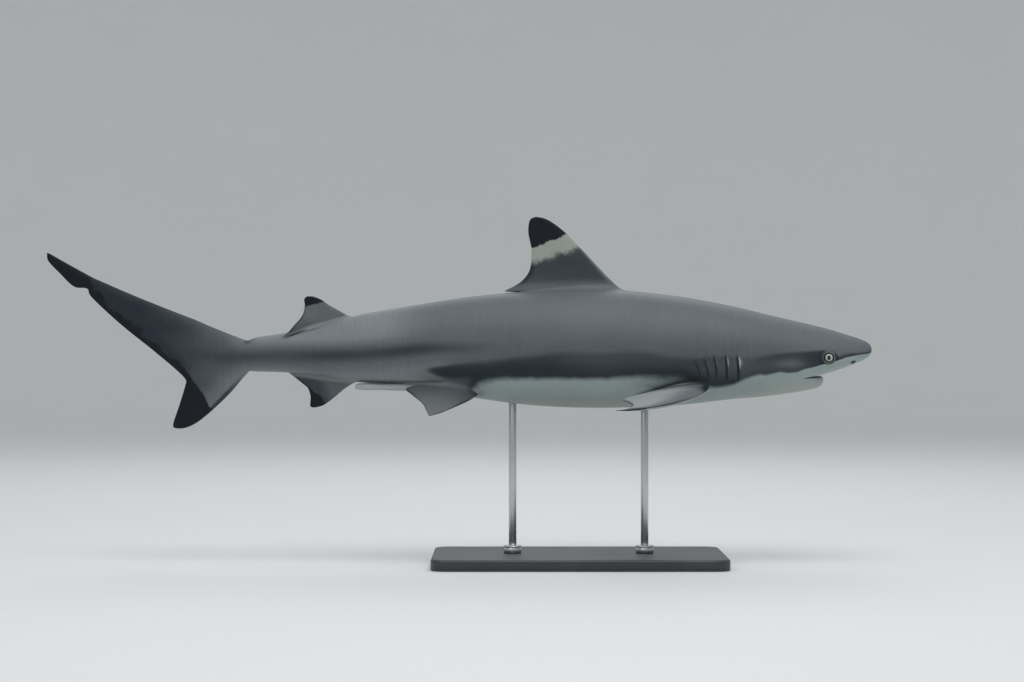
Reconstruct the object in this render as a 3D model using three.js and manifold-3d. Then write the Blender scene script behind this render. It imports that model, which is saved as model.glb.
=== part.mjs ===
// Blacktip reef shark (Carcharhinus melanopterus), adult male, life size, level
// and straight as it swims, held over a flat base by two short rods.
// Millimetres, +Z up. The shark faces +X and its right side faces -Y. The origin
// is on the floor under the middle of the shark's length.
import * as THREE from 'three';
import { ParametricGeometry } from 'three/addons/geometries/ParametricGeometry.js';
import { mergeVertices } from 'three/addons/utils/BufferGeometryUtils.js';
import Module from 'manifold-3d';

const wasm = await Module();
wasm.setup();

// ---------------------------------------------------------------- driving sizes

const TOTAL_LENGTH = 1300; // snout tip to the tip of the tail's upper lobe
const SNOUT_HEIGHT = 330; // the snout's level above the floor
const CUT = 0.3; // gap between neighbouring pieces
const FIN_EDGE = 0.35; // half the thickness that a fin keeps along its edges
const EDGE_POWER = 0.3; // how bluntly that edge is rounded

// Every place on the shark is given in per cent of its total length: "at" runs
// back from the snout tip, heights run up from the snout's level.
const PERCENT = TOTAL_LENGTH / 100;

// Where the body is parted, from the first gill slit to the root of the tail fin.
const GILLS_FRONT = 15.2;
const GILLS_BACK = 22.6;
const TRUNK_THIRD = 31.5;
const TRUNK_TWO_THIRDS = 42;
const VENT = 54;
const TAIL_ROOT = 75.4;

// The body's cross-sections: the height of the back, the belly and the widest
// level, half of the width, and how square the upper and lower halves are.
const BODY = [
  { at: 0, back: 0.65, belly: 0.65, widest: 0.65, half: 0, upper: 2, lower: 2 },
  { at: 0.3, back: 1.35, belly: -0.1, widest: 0.5, half: 1.3, upper: 2, lower: 2.1 },
  { at: 1.4, back: 1.95, belly: -0.8, widest: 0.25, half: 2.45, upper: 2, lower: 2.4 },
  { at: 3, back: 2.45, belly: -1.4, widest: 0, half: 3.35, upper: 2, lower: 2.7 },
  { at: 5.8, back: 3.3, belly: -2.3, widest: -0.3, half: 4.3, upper: 2, lower: 2.9 },
  { at: 9, back: 4.05, belly: -3.1, widest: -0.4, half: 5, upper: 2, lower: 3.1 },
  { at: 12.4, back: 4.85, belly: -3.45, widest: -0.3, half: 5.5, upper: 2, lower: 3.2 },
  { at: 12.6, back: 4.9, belly: -4.95, widest: -0.25, half: 5.5, upper: 2, lower: 2.3 },
  { at: 17, back: 5.95, belly: -5.35, widest: 0, half: 5.8, upper: 2, lower: 2.3 },
  { at: 24, back: 7.2, belly: -6.1, widest: 0.4, half: 6.05, upper: 2, lower: 2.3 },
  { at: 33, back: 8, belly: -6.4, widest: 0.6, half: 6.1, upper: 2, lower: 2.3 },
  { at: 41, back: 7.75, belly: -6.1, widest: 0.7, half: 5.6, upper: 2, lower: 2.2 },
  { at: 48, back: 7.15, belly: -5.2, widest: 0.8, half: 4.8, upper: 2, lower: 2.2 },
  { at: 55, back: 6.1, belly: -3.95, widest: 0.9, half: 3.85, upper: 2, lower: 2.2 },
  { at: 62, back: 4.9, belly: -3.3, widest: 0.7, half: 2.95, upper: 2, lower: 2.2 },
  { at: 66.5, back: 3.75, belly: -2.75, widest: 0.45, half: 2.4, upper: 2, lower: 2.2 },
  { at: 70.5, back: 2.8, belly: -2.15, widest: 0.25, half: 1.95, upper: 2, lower: 2.2 },
  { at: 74.6, back: 2.15, belly: -2, widest: 0.05, half: 1.6, upper: 2, lower: 2 },
];

// The tail fin's upper lobe carries the spine on: each rib runs from the upper
// margin down to the lower one, and half is its thickest point's half thickness.
const UPPER_LOBE = [
  { topAt: 75.6, top: 1.75, lowAt: 75.4, low: -1.95, half: 1.5 },
  { topAt: 77.5, top: 2.4, lowAt: 78, low: -2.4, half: 1.05 },
  { topAt: 79.6, top: 3.25, lowAt: 80.8, low: -2.9, half: 0.75 },
  { topAt: 81.2, top: 3.95, lowAt: 83, low: -3.45, half: 0.62 },
  { topAt: 82.4, top: 4.45, lowAt: 83.9, low: -2.1, half: 0.55 },
  { topAt: 85.4, top: 5.6, lowAt: 87.2, low: 0.65, half: 0.45 },
  { topAt: 89.6, top: 7.3, lowAt: 91, low: 3.7, half: 0.33 },
  { topAt: 93.4, top: 8.95, lowAt: 94.5, low: 6.95, half: 0.25 },
  { topAt: 94.3, top: 9.35, lowAt: 95.1, low: 8.05, half: 0.22 },
  { topAt: 95.6, top: 10.05, lowAt: 96.7, low: 8.3, half: 0.2 },
  { topAt: 97.6, top: 11.15, lowAt: 98.5, low: 10, half: 0.15 },
  { topAt: 99.3, top: 12.1, lowAt: 99.7, low: 11.3, half: 0.1 },
  { topAt: 100, top: 12.35, lowAt: 100, low: 12.35, half: 0 },
];

// The lower jaw: the heights of its upper and lower side, and half its width.
const JAW = [
  { at: 5.86, back: -3.15, belly: -3.15, half: 0 },
  { at: 6.1, back: -2.75, belly: -3.65, half: 1.25 },
  { at: 6.8, back: -2.72, belly: -4, half: 2.2 },
  { at: 8.4, back: -3.13, belly: -4.37, half: 3.3 },
  { at: 10.4, back: -3.35, belly: -4.68, half: 4.05 },
  { at: 12.35, back: -3.52, belly: -4.93, half: 4.45 },
];

// Fins: "at" and "level" place the fin's corner. Each rib lies a span away from
// the root and runs from its front to its rear, both measured back from "at".
// half is the half thickness at the root and at the tip.
const FIRST_DORSAL = {
  at: 31, level: 7.6, up: 1, half: [0.62, 0.12],
  ribs: [[-1.2, -1.2, 12.2], [0, -1, 13.5], [1.3, 0.4, 11.5], [3, 2.05, 10.35], [5, 3.9, 10.25],
    [7.2, 6.05, 10.6], [8.4, 7.6, 10.5], [9.1, 9.4, 9.8]],
};
const SECOND_DORSAL = {
  at: 62.5, level: 2.5, up: 1, half: [0.42, 0.09],
  ribs: [[-0.9, 0, 6.6], [0, 0.2, 8.6], [1, 0.6, 7.5], [2, 0.9, 6.65], [2.8, 1.95, 6.25],
    [3.6, 3.3, 6.25], [4.3, 4.6, 6.15], [4.6, 5.5, 5.85]],
};
const ANAL = {
  at: 62.6, level: -2.25, up: -1, half: [0.42, 0.09],
  ribs: [[-0.8, 0.5, 6.2], [0, 0.1, 8.1], [1.1, 0.25, 6.5], [1.9, 1.35, 5.55], [3, 2.65, 5.4],
    [3.75, 3.7, 5.45], [4.1, 4.8, 5.15]],
};
const LOWER_LOBE = {
  at: 75, level: -1.5, up: -1, half: [0.62, 0.1],
  ribs: [[-1, 1.2, 6.8], [0, 0.2, 7.8], [1.2, 1.1, 8.05], [3, 2.65, 8.35], [5, 4.7, 9.05],
    [6.6, 6.65, 9.5], [7.4, 8.6, 9.3]],
};
// Paired fins: "out" is the root's distance from the middle. A fin drops by
// "droop" at its tip, most of it near the root. Its root climbs by "rise" towards
// the tail, nearly two thirds of it within the length "over".
const PECTORAL = {
  at: 20.2, out: 5, level: -4, droop: 1.78, settle: 2.2, rise: -0.6, over: 10, half: [0.8, 0.1],
  ribs: [[-1.6, 0.5, 5.6], [0, 0, 6.6], [1.8, 0.7, 8.9], [3.6, 1.75, 10.4], [5.4, 3.1, 9.75],
    [8, 5.2, 9.45], [11, 7.8, 10.2], [13.6, 10.35, 11.15], [14.5, 11.45, 11.65]],
};
const PELVIC = {
  at: 47.6, out: 2.7, level: -4.5, droop: 3.94, settle: 1, rise: 1.4, over: 2.2, half: [0.45, 0.08],
  ribs: [[-1, 0.6, 5.2], [0, 0, 6.2], [0.9, 0.7, 8.6], [1.8, 1.6, 8], [2.8, 2.95, 6.95],
    [3.7, 4.3, 6.5], [4.3, 5.4, 6.1]],
};

// Claspers: rods of the adult male, from the pelvic fins' inner edge backwards.
const CLASPER = { front: 52.8, back: 62.6, out: 1.15, level: -3.95, radius: 0.45, sides: 14 };

// Eyes: whole balls, sunk in the head so that only a cap shows.
const EYE = { at: 5.7, level: -0.3, radius: 9.5, proud: 1.2 };

// Display stand.
const BASE = { at: 35.5, length: 460, width: 250, height: 18, corner: 22, bevel: 2.5 };
const ROD = { frontAt: 27.5, rearAt: 43.5, radius: 6 };
const COLLAR = { radius: 14, height: 12 };
const TUBE_SIDES = 20;

const COLOURS = {
  back: 0x6b6a6c,
  fin: 0x605e5f,
  belly: 0xc9ccc6,
  tail: 0x55565a,
  clasper: 0xaeb8bd,
  eye: 0xb9bf9a,
  base: 0x2b2c2e,
  steel: 0xb4b6b8,
};

// ------------------------------------------------------------------- small tools

const lengthways = (at) => TOTAL_LENGTH / 2 - at * PERCENT;
const upwards = (height) => SNOUT_HEIGHT + height * PERCENT;

// A smooth line through values at given places: cubic pieces whose slope at each
// place is that between its two neighbours.
function smoothLine(places, values) {
  const last = places.length - 1;
  const slopes = places.map((_, i) => {
    const before = Math.max(i - 1, 0);
    const after = Math.min(i + 1, last);
    return (values[after] - values[before]) / (places[after] - places[before]);
  });
  return (place) => {
    let i = 0;
    while (i < last - 1 && place > places[i + 1]) i += 1;
    const step = places[i + 1] - places[i];
    const t = THREE.MathUtils.clamp((place - places[i]) / step, 0, 1);
    const rise = values[i + 1] - values[i];
    const bendIn = slopes[i] * step - rise;
    const bendOut = rise - slopes[i + 1] * step;
    return values[i] + t * rise + t * (1 - t) * ((1 - t) * bendIn + t * bendOut);
  };
}

// One smooth line for each named value of a list of stations.
function smoothLines(stations, places, names) {
  const lines = {};
  for (const name of names) {
    lines[name] = smoothLine(places, stations.map((station) => station[name]));
  }
  return lines;
}

// The volume inside a closed surface, negative when its faces point inwards.
function signedVolume(positions, corners) {
  const [a, b, c] = [new THREE.Vector3(), new THREE.Vector3(), new THREE.Vector3()];
  let total = 0;
  for (let i = 0; i < corners.length; i += 3) {
    a.fromArray(positions, 3 * corners[i]);
    b.fromArray(positions, 3 * corners[i + 1]);
    c.fromArray(positions, 3 * corners[i + 2]);
    total += a.dot(b.cross(c)) / 6;
  }
  return total;
}

// A closed solid from a surface that closes on itself: shared corners are merged,
// the triangles that shrink to nothing at its poles and folds are dropped, and
// one that came out facing inwards is turned round.
function closedSolid(geometry) {
  geometry.deleteAttribute('normal');
  geometry.deleteAttribute('uv');
  const merged = mergeVertices(geometry, 1e-3);
  const corners = merged.index.array;
  const positions = merged.attributes.position.array;
  const kept = [];
  for (let i = 0; i < corners.length; i += 3) {
    const [a, b, c] = [corners[i], corners[i + 1], corners[i + 2]];
    if (a !== b && b !== c && c !== a) kept.push(a, b, c);
  }
  if (signedVolume(positions, kept) < 0) kept.reverse();
  const mesh = { numProp: 3, vertProperties: positions, triVerts: new Uint32Array(kept) };
  return new wasm.Manifold(new wasm.Mesh(mesh));
}

function solidGeometry(solid) {
  const { vertProperties, triVerts } = solid.getMesh();
  const geometry = new THREE.BufferGeometry();
  geometry.setAttribute('position', new THREE.BufferAttribute(vertProperties, 3));
  geometry.setIndex(new THREE.BufferAttribute(triVerts, 1));
  const flat = geometry.toNonIndexed();
  flat.computeVertexNormals();
  return flat;
}

function boxSolid(low, high) {
  const size = new THREE.Vector3().subVectors(high, low);
  const geometry = new THREE.BoxGeometry(size.x, size.y, size.z);
  geometry.translate(...new THREE.Vector3().addVectors(low, high).multiplyScalar(0.5));
  return closedSolid(geometry);
}

const END_ROW = 1e-6; // tells a surface's closing row from the others

const model = new THREE.Group();
const trunk = new THREE.Group();
const fins = new THREE.Group();
const stand = new THREE.Group();
model.add(trunk, fins, stand);

function addMesh(group, name, geometry, colour, roughness = 0.5, metalness = 0) {
  const material = new THREE.MeshStandardMaterial({ color: colour, roughness, metalness });
  const mesh = new THREE.Mesh(geometry, material);
  mesh.name = name;
  group.add(mesh);
  return mesh;
}

const addFlesh = (group, name, solid, colour) => addMesh(group, name, solidGeometry(solid), colour);

// -------------------------------------------------------------------------- body

const SIDE_STEPS = 12; // points from the back to the belly on one side
const BLADE_FROM = 3; // the rib of the upper lobe at which it is a full blade
const SPINE_PLACE = 0.3; // the blade's thickest place, as a share of its depth
const BLADE_POWER = 1.2; // nearly straight taper to the lower margin

// The body's stations are joined over the square root of their distance from the
// snout tip, which rounds the snout.
const bodyLines = smoothLines(BODY, BODY.map((station) => Math.sqrt(station.at)),
  ['back', 'belly', 'widest', 'half', 'upper', 'lower']);

// A superellipse in two halves that meet at the widest level. The turn runs from
// 0 at the back, down the right side to 0.5 at the belly, and up the left side.
function bodyPoint(at, turn, grow) {
  const place = Math.sqrt(at);
  const angle = turn * 2 * Math.PI;
  const widest = bodyLines.widest(place);
  const isUpper = Math.cos(angle) > 0;
  const power = isUpper ? bodyLines.upper(place) : bodyLines.lower(place);
  const edge = isUpper ? bodyLines.back(place) : bodyLines.belly(place);
  const out = Math.abs(Math.sin(angle)) ** (2 / power);
  const far = Math.abs(Math.cos(angle)) ** (2 / power);
  const y = -Math.sign(Math.sin(angle)) * out * (bodyLines.half(place) * PERCENT + grow);
  const z = upwards(widest) + far * ((edge - widest) * PERCENT + (isUpper ? grow : -grow));
  return new THREE.Vector3(lengthways(at), y, z);
}

// The upper lobe's ribs, counted from 0 at its root. A rib is a thin blade,
// thickest in its upper part, where the spine runs, and round at the root.
const lobeLines = smoothLines(UPPER_LOBE, UPPER_LOBE.map((_, i) => i),
  ['topAt', 'top', 'lowAt', 'low', 'half']);
const LAST_RIB = UPPER_LOBE.length - 1;

function lobePoint(rib, turn, grow) {
  const angle = turn * 2 * Math.PI;
  const isUpper = Math.cos(angle) > 0;
  const blade = THREE.MathUtils.smoothstep(rib, 0, BLADE_FROM);
  const thickest = THREE.MathUtils.lerp(0.5, SPINE_PLACE, blade);
  const power = isUpper ? 2 : THREE.MathUtils.lerp(2, BLADE_POWER, blade);
  const far = Math.abs(Math.cos(angle)) ** (2 / power);
  const along = isUpper ? thickest * (1 - far) : thickest + (1 - thickest) * far;
  const top = new THREE.Vector3(lengthways(lobeLines.topAt(rib)), 0, upwards(lobeLines.top(rib)) + grow);
  const low = new THREE.Vector3(lengthways(lobeLines.lowAt(rib)), 0, upwards(lobeLines.low(rib)) - grow);
  const point = top.lerp(low, along);
  const sine = Math.abs(Math.sin(angle));
  const edge = rib < LAST_RIB ? FIN_EDGE * blade : 0;
  const out = sine ** (2 / power) * (lobeLines.half(rib) * PERCENT + grow) + sine ** EDGE_POWER * edge;
  point.y = -Math.sign(Math.sin(angle)) * out;
  return point;
}

// Rings close together where the shape turns quickly: at the snout, at the step
// behind the jaw, and at the fork and the notch of the tail.
const BODY_RINGS = [0, 0.08, 0.3, 0.7, 1.4, 2.3, 3.4, 4.6, 5.8, 7.2, 9, 10.8, 12.4, 12.6];
const RING_STEP = 2.3;
const [LAST_STATION] = BODY.slice(-1);
for (let at = 14.6; at < LAST_STATION.at - 0.5; at += RING_STEP) BODY_RINGS.push(at);
BODY_RINGS.push(LAST_STATION.at);
const LOBE_RINGS = [0, 0.6, 1.3, 2.1, 2.7, 3, 3.3, 4, 4.8, 5.6, 6.3, 7, 7.5, 8, 9, 10, 11, 11.6, 12];
const RING_COUNT = BODY_RINGS.length + LOBE_RINGS.length;

// The whole body with the upper lobe as one closed solid, larger all round by grow.
function bodySolid(grow) {
  const pointAt = (turn, along, target) => {
    const ring = Math.round(along * (RING_COUNT - 1));
    const isBody = ring < BODY_RINGS.length;
    const around = ((turn % 1) + 1) % 1;
    const point = isBody
      ? bodyPoint(BODY_RINGS[ring], around, ring === 0 ? 0 : grow)
      : lobePoint(LOBE_RINGS[ring - BODY_RINGS.length], around, ring === RING_COUNT - 1 ? 0 : grow);
    target.copy(point);
  };
  return closedSolid(new ParametricGeometry(pointAt, 2 * SIDE_STEPS, RING_COUNT - 1));
}

const body = bodySolid(0);
const grownBody = bodySolid(CUT);

// A length of the body between two places, short of each by half the gap.
function bodyLength(from, to) {
  const low = new THREE.Vector3(lengthways(to) + CUT / 2, -TOTAL_LENGTH, 0);
  const high = new THREE.Vector3(lengthways(from) - CUT / 2, TOTAL_LENGTH, TOTAL_LENGTH);
  return body.intersect(boxSolid(low, high));
}

// --------------------------------------------------------------------------- fins

const FIN_STEPS = 8; // points from a fin's front edge to its rear edge on one face
const FIN_ROWS = 12;
const TIP_CROWDING = 1.25; // how much closer the rows lie towards the tip
const FIN_THICKEST = 0.3; // the thickest place, as a share of the chord from the front
const FIN_NOSE_POWER = 2; // round front edge
const FIN_TAIL_POWER = 1.35; // nearly straight taper to the rear edge
const FIN_TAPER_POWER = 0.7; // how soon the thickness falls off along the span

// A fin's solid from its ribs. The turn runs along one face from the front edge
// to the rear one and back along the other. place puts a point, given by its
// distance back, its span and its distance from the fin's middle surface.
function finSolid(fin, place) {
  const count = fin.ribs.length - 1;
  const numbers = fin.ribs.map((_, i) => i);
  const [span, front, rear] = [0, 1, 2].map((k) => smoothLine(numbers, fin.ribs.map((rib) => rib[k])));
  const tipSpan = fin.ribs[count][0];
  const pointAt = (turn, along, target) => {
    const rib = count * (1 - (1 - along) ** TIP_CROWDING);
    const angle = Math.min(turn, 1 - turn) * 2 * Math.PI; // alike on both faces, so that they meet
    const isFront = Math.cos(angle) > 0;
    const power = isFront ? FIN_NOSE_POWER : FIN_TAIL_POWER;
    const far = Math.abs(Math.cos(angle)) ** (2 / power);
    const chord = isFront ? FIN_THICKEST * (1 - far) : FIN_THICKEST + (1 - FIN_THICKEST) * far;
    const sine = Math.abs(Math.sin(angle));
    const outwards = THREE.MathUtils.clamp(span(rib) / tipSpan, 0, 1);
    const half = THREE.MathUtils.lerp(...fin.half, outwards ** FIN_TAPER_POWER) * PERCENT;
    const isEnd = along < END_ROW || along > 1 - END_ROW;
    const thick = isEnd ? 0 : sine ** (2 / power) * half + sine ** EDGE_POWER * FIN_EDGE;
    const back = THREE.MathUtils.lerp(front(rib), rear(rib), chord);
    target.copy(place(back, span(rib), (turn < 0.5 ? -thick : thick)));
  };
  return closedSolid(new ParametricGeometry(pointAt, 2 * FIN_STEPS, FIN_ROWS));
}

const middleFin = (fin) => finSolid(fin, (back, span, thick) => new THREE.Vector3(
  lengthways(fin.at + back),
  thick * fin.up,
  upwards(fin.level + fin.up * span),
)).subtract(grownBody);

function pairedFin(fin, side) {
  const tipSpan = fin.ribs[fin.ribs.length - 1][0];
  return finSolid(fin, (back, span, thick) => {
    const reach = THREE.MathUtils.clamp(span / tipSpan, 0, 1);
    const drop = fin.droop * (1 - (1 - reach) ** fin.settle);
    const climb = fin.rise * (1 - Math.exp(-back / fin.over));
    return new THREE.Vector3(
      lengthways(fin.at + back),
      side * (fin.out + span) * PERCENT,
      upwards(fin.level + climb - drop) + side * thick,
    );
  }).subtract(grownBody);
}

// ---------------------------------------------------------------------- lower jaw

const jawLines = smoothLines(JAW, JAW.map((station) => Math.sqrt(station.at - JAW[0].at)),
  ['back', 'belly', 'half']);
const JAW_RINGS = 9;
const JAW_STEPS = 9; // points from the middle of the jaw's top to that of its underside
const JAW_SHOULDER = 0.3; // the widest level, as a share of the jaw's depth from its top
const JAW_TOP_POWER = 4; // nearly flat on top
const JAW_LOWER_POWER = 2.3;

function jawSolid() {
  const reach = Math.sqrt(JAW[JAW.length - 1].at - JAW[0].at);
  const pointAt = (turn, along, target) => {
    const place = Math.min(along * (JAW_RINGS + 1) / JAW_RINGS, 1) * reach;
    const isEnd = along > 1 - END_ROW;
    const angle = turn * 2 * Math.PI;
    const isUpper = Math.cos(angle) > 0;
    const [top, bottom] = [jawLines.back(place), jawLines.belly(place)];
    const widest = THREE.MathUtils.lerp(top, bottom, JAW_SHOULDER);
    const power = isUpper && !isEnd ? JAW_TOP_POWER : JAW_LOWER_POWER;
    const far = isEnd ? 0 : Math.abs(Math.cos(angle)) ** (2 / power);
    const out = Math.abs(Math.sin(angle)) ** (2 / power) * jawLines.half(place) * PERCENT;
    target.set(
      lengthways(JAW[0].at + place ** 2),
      -Math.sign(Math.sin(angle)) * out,
      upwards(widest + far * ((isUpper ? top : bottom) - widest)),
    );
  };
  return closedSolid(new ParametricGeometry(pointAt, 2 * JAW_STEPS, JAW_RINGS + 1));
}

// ------------------------------------------------------------------ eyes, claspers

function eyeCentre(side) {
  const half = bodyLines.half(Math.sqrt(EYE.at)) * PERCENT;
  return new THREE.Vector3(
    lengthways(EYE.at),
    side * (half + EYE.proud - EYE.radius),
    upwards(EYE.level),
  );
}

const eyeBall = (radius) => new THREE.SphereGeometry(radius, 14, 9).rotateX(Math.PI / 2);

// A round rod with a rounded rear tip, slightly thinner behind.
function clasperSolid(side) {
  const length = (CLASPER.back - CLASPER.front) * PERCENT;
  const radius = CLASPER.radius * PERCENT;
  const shares = [[0, 0], [1, 0], [1, 0.55], [0.85, 0.84], [0.7, 0.93], [0.42, 0.985], [0, 1]];
  const profile = shares.map(([out, along]) => new THREE.Vector2(radius * out, length * along));
  const rod = new THREE.LatheGeometry(profile, CLASPER.sides);
  rod.rotateZ(Math.PI / 2);
  rod.translate(lengthways(CLASPER.front), side * CLASPER.out * PERCENT, upwards(CLASPER.level));
  return closedSolid(rod);
}

// -------------------------------------------------------------------------- stand

function roundedBase() {
  const [x, y, r] = [BASE.length / 2 - BASE.bevel, BASE.width / 2 - BASE.bevel, BASE.corner];
  const outline = new THREE.Shape();
  outline.moveTo(x, -y + r);
  outline.lineTo(x, y - r);
  outline.absarc(x - r, y - r, r, 0, Math.PI / 2);
  outline.lineTo(-x + r, y);
  outline.absarc(-x + r, y - r, r, Math.PI / 2, Math.PI);
  outline.lineTo(-x, -y + r);
  outline.absarc(-x + r, -y + r, r, Math.PI, 1.5 * Math.PI);
  outline.lineTo(x - r, -y);
  outline.absarc(x - r, -y + r, r, 1.5 * Math.PI, 2 * Math.PI);
  const depth = BASE.height - 2 * BASE.bevel;
  const geometry = new THREE.ExtrudeGeometry(outline, {
    depth, bevelThickness: BASE.bevel, bevelSize: BASE.bevel, bevelSegments: 1, curveSegments: 4,
  });
  geometry.translate(0, 0, BASE.bevel);
  return geometry;
}

// An upright tube on the origin, from its foot up to a height.
function standTube(radius, height) {
  const tube = new THREE.CylinderGeometry(radius, radius, height, TUBE_SIDES);
  return closedSolid(tube.rotateX(Math.PI / 2).translate(0, 0, height / 2));
}

// A rod stands on the base inside its collar and ends just under the belly.
function addRod(name, at) {
  const place = new THREE.Vector3(lengthways(at), 0, BASE.height + CUT);
  const belly = grownBody.translate(place.clone().negate().toArray());
  const rod = standTube(ROD.radius, SNOUT_HEIGHT - place.z).subtract(belly);
  const bore = standTube(ROD.radius + CUT, SNOUT_HEIGHT);
  const collar = standTube(COLLAR.radius, COLLAR.height).subtract(bore);
  for (const [kind, solid] of [['rod', rod], ['collar', collar]]) {
    const mesh = addMesh(stand, `stand_${kind}_${name}`, solidGeometry(solid), COLOURS.steel, 0.3, 0.9);
    mesh.position.copy(place);
  }
}

// ----------------------------------------------------------------------- assembly

const SIDES = { right: -1, left: 1 };
const BEFORE_SNOUT = -1;
const BEHIND_TAIL = 101;

let head = bodyLength(BEFORE_SNOUT, GILLS_FRONT);
for (const side of Object.values(SIDES)) {
  const socket = closedSolid(eyeBall(EYE.radius + CUT)).translate(eyeCentre(side).toArray());
  head = head.subtract(socket);
}
addFlesh(trunk, 'head', head, COLOURS.back);
addFlesh(trunk, 'lower_jaw', jawSolid().subtract(grownBody), COLOURS.belly);
addFlesh(trunk, 'gill_region', bodyLength(GILLS_FRONT, GILLS_BACK), COLOURS.back);
addFlesh(trunk, 'trunk_front', bodyLength(GILLS_BACK, TRUNK_THIRD), COLOURS.back);
addFlesh(trunk, 'trunk_middle', bodyLength(TRUNK_THIRD, TRUNK_TWO_THIRDS), COLOURS.back);
addFlesh(trunk, 'trunk_rear', bodyLength(TRUNK_TWO_THIRDS, VENT), COLOURS.back);
addFlesh(trunk, 'tail_stem', bodyLength(VENT, TAIL_ROOT), COLOURS.back);
addFlesh(fins, 'caudal_upper_lobe', bodyLength(TAIL_ROOT, BEHIND_TAIL), COLOURS.tail);
addFlesh(fins, 'caudal_lower_lobe', middleFin(LOWER_LOBE), COLOURS.tail);
addFlesh(fins, 'first_dorsal_fin', middleFin(FIRST_DORSAL), COLOURS.fin);
addFlesh(fins, 'second_dorsal_fin', middleFin(SECOND_DORSAL), COLOURS.fin);
addFlesh(fins, 'anal_fin', middleFin(ANAL), COLOURS.fin);

for (const [name, side] of Object.entries(SIDES)) {
  addFlesh(fins, `pectoral_fin_${name}`, pairedFin(PECTORAL, side), COLOURS.fin);
  addFlesh(fins, `pelvic_fin_${name}`, pairedFin(PELVIC, side), COLOURS.fin);
  addFlesh(fins, `clasper_${name}`, clasperSolid(side).subtract(grownBody), COLOURS.clasper);
  const eye = addMesh(trunk, `eye_${name}`, eyeBall(EYE.radius), COLOURS.eye, 0.15);
  eye.position.copy(eyeCentre(side));
}

const base = addMesh(stand, 'stand_base', roundedBase(), COLOURS.base, 0.6);
base.position.x = lengthways(BASE.at);
addRod('front', ROD.frontAt);
addRod('rear', ROD.rearAt);

export default model;
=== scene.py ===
import math

import bpy
import numpy as np
from bpy.props import FloatProperty, FloatVectorProperty, PointerProperty
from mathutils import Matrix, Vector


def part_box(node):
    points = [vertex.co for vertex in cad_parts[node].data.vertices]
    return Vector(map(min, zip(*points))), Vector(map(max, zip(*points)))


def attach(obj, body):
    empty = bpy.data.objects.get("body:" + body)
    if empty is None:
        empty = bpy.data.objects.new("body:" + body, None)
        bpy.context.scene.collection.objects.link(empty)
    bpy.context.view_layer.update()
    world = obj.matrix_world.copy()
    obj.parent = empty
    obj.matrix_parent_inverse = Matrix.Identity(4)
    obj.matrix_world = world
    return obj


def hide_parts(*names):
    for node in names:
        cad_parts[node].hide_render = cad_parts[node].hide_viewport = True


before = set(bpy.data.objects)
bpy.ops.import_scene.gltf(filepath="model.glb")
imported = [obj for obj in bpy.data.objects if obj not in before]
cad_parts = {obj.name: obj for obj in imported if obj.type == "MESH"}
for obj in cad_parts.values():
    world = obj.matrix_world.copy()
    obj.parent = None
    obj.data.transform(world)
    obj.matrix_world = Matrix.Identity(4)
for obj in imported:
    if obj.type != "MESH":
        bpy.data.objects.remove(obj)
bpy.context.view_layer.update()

bl_info = {
    "name": "Blacktip reef shark",
    "version": (1, 0, 0),
    "blender": (4, 5, 0),
    "location": "3D View > Sidebar > Shark",
    "description": "A life-size blacktip reef shark on a display stand",
    "category": "Object",
}

# ---- Shared frame

SIDES = ("right", "left")
FLESH_NODES = (
    "head", "lower_jaw", "gill_region", "trunk_front", "trunk_middle", "trunk_rear", "tail_stem",
    "caudal_upper_lobe", "caudal_lower_lobe", "first_dorsal_fin", "second_dorsal_fin", "anal_fin",
    *(f"{part}_{side}" for part in ("pectoral_fin", "pelvic_fin", "clasper") for side in SIDES),
)


def box_of(node):
    """A CAD node's lowest and highest corner."""
    return tuple(np.array(corner, float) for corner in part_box(node))


# The shark is laid out in per cent of its total length: "at" runs back from the
# snout tip, "out" to its left side and heights up from the snout's level.
EYE_LEVEL = -0.3
SNOUT_X = box_of("head")[1][0]
PERCENT = (SNOUT_X - box_of("caudal_upper_lobe")[0][0]) / 100
SNOUT_Z = sum(corner[2] for corner in box_of("eye_right")) / 2 - EYE_LEVEL * PERCENT
MM = 0.001 / PERCENT  # a millimetre in per cent of the length


def stacked(*values):
    """Values side by side, each stretched over the grid that they span together."""
    return np.stack(np.broadcast_arrays(*values), axis=-1)


def axes_of(points):
    return np.moveaxis(points, -1, 0)


def in_metres(points):
    """X = snout - at, Y = out, Z = snout's level + height, each in metres."""
    at, out, height = axes_of(points * PERCENT)
    return stacked(SNOUT_X - at, out, SNOUT_Z + height)


# ---- Body sizes

# at, height of the back, widest level, half width
TRUNK = np.array([
    (0, 0.65, 0.65, 0), (0.3, 1.35, 0.5, 1.3), (1.4, 1.95, 0.25, 2.45), (3, 2.45, 0, 3.35),
    (5.8, 3.3, -0.3, 4.3), (9, 4.05, -0.4, 5), (12.5, 4.87, -0.28, 5.5), (17, 5.95, 0, 5.8),
    (24, 7.2, 0.4, 6.05), (33, 8, 0.6, 6.1), (41, 7.75, 0.7, 5.6), (48, 7.15, 0.8, 4.8),
    (55, 6.1, 0.9, 3.85), (62, 4.9, 0.7, 2.95), (66.5, 3.75, 0.45, 2.4), (70.5, 2.8, 0.25, 1.95),
    (74.6, 2.15, 0.05, 1.6),
])
# at, height of the snout's underside and the mouth's roof, squareness of that half
ROOF = np.array([
    (0, 0.65, 2), (0.3, -0.1, 2.1), (1.4, -0.8, 2.4), (3, -1.4, 2.7), (5.8, -2.3, 2.9),
    (9, -3.1, 3.1), (12.5, -3.5, 3.2),
])
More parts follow.
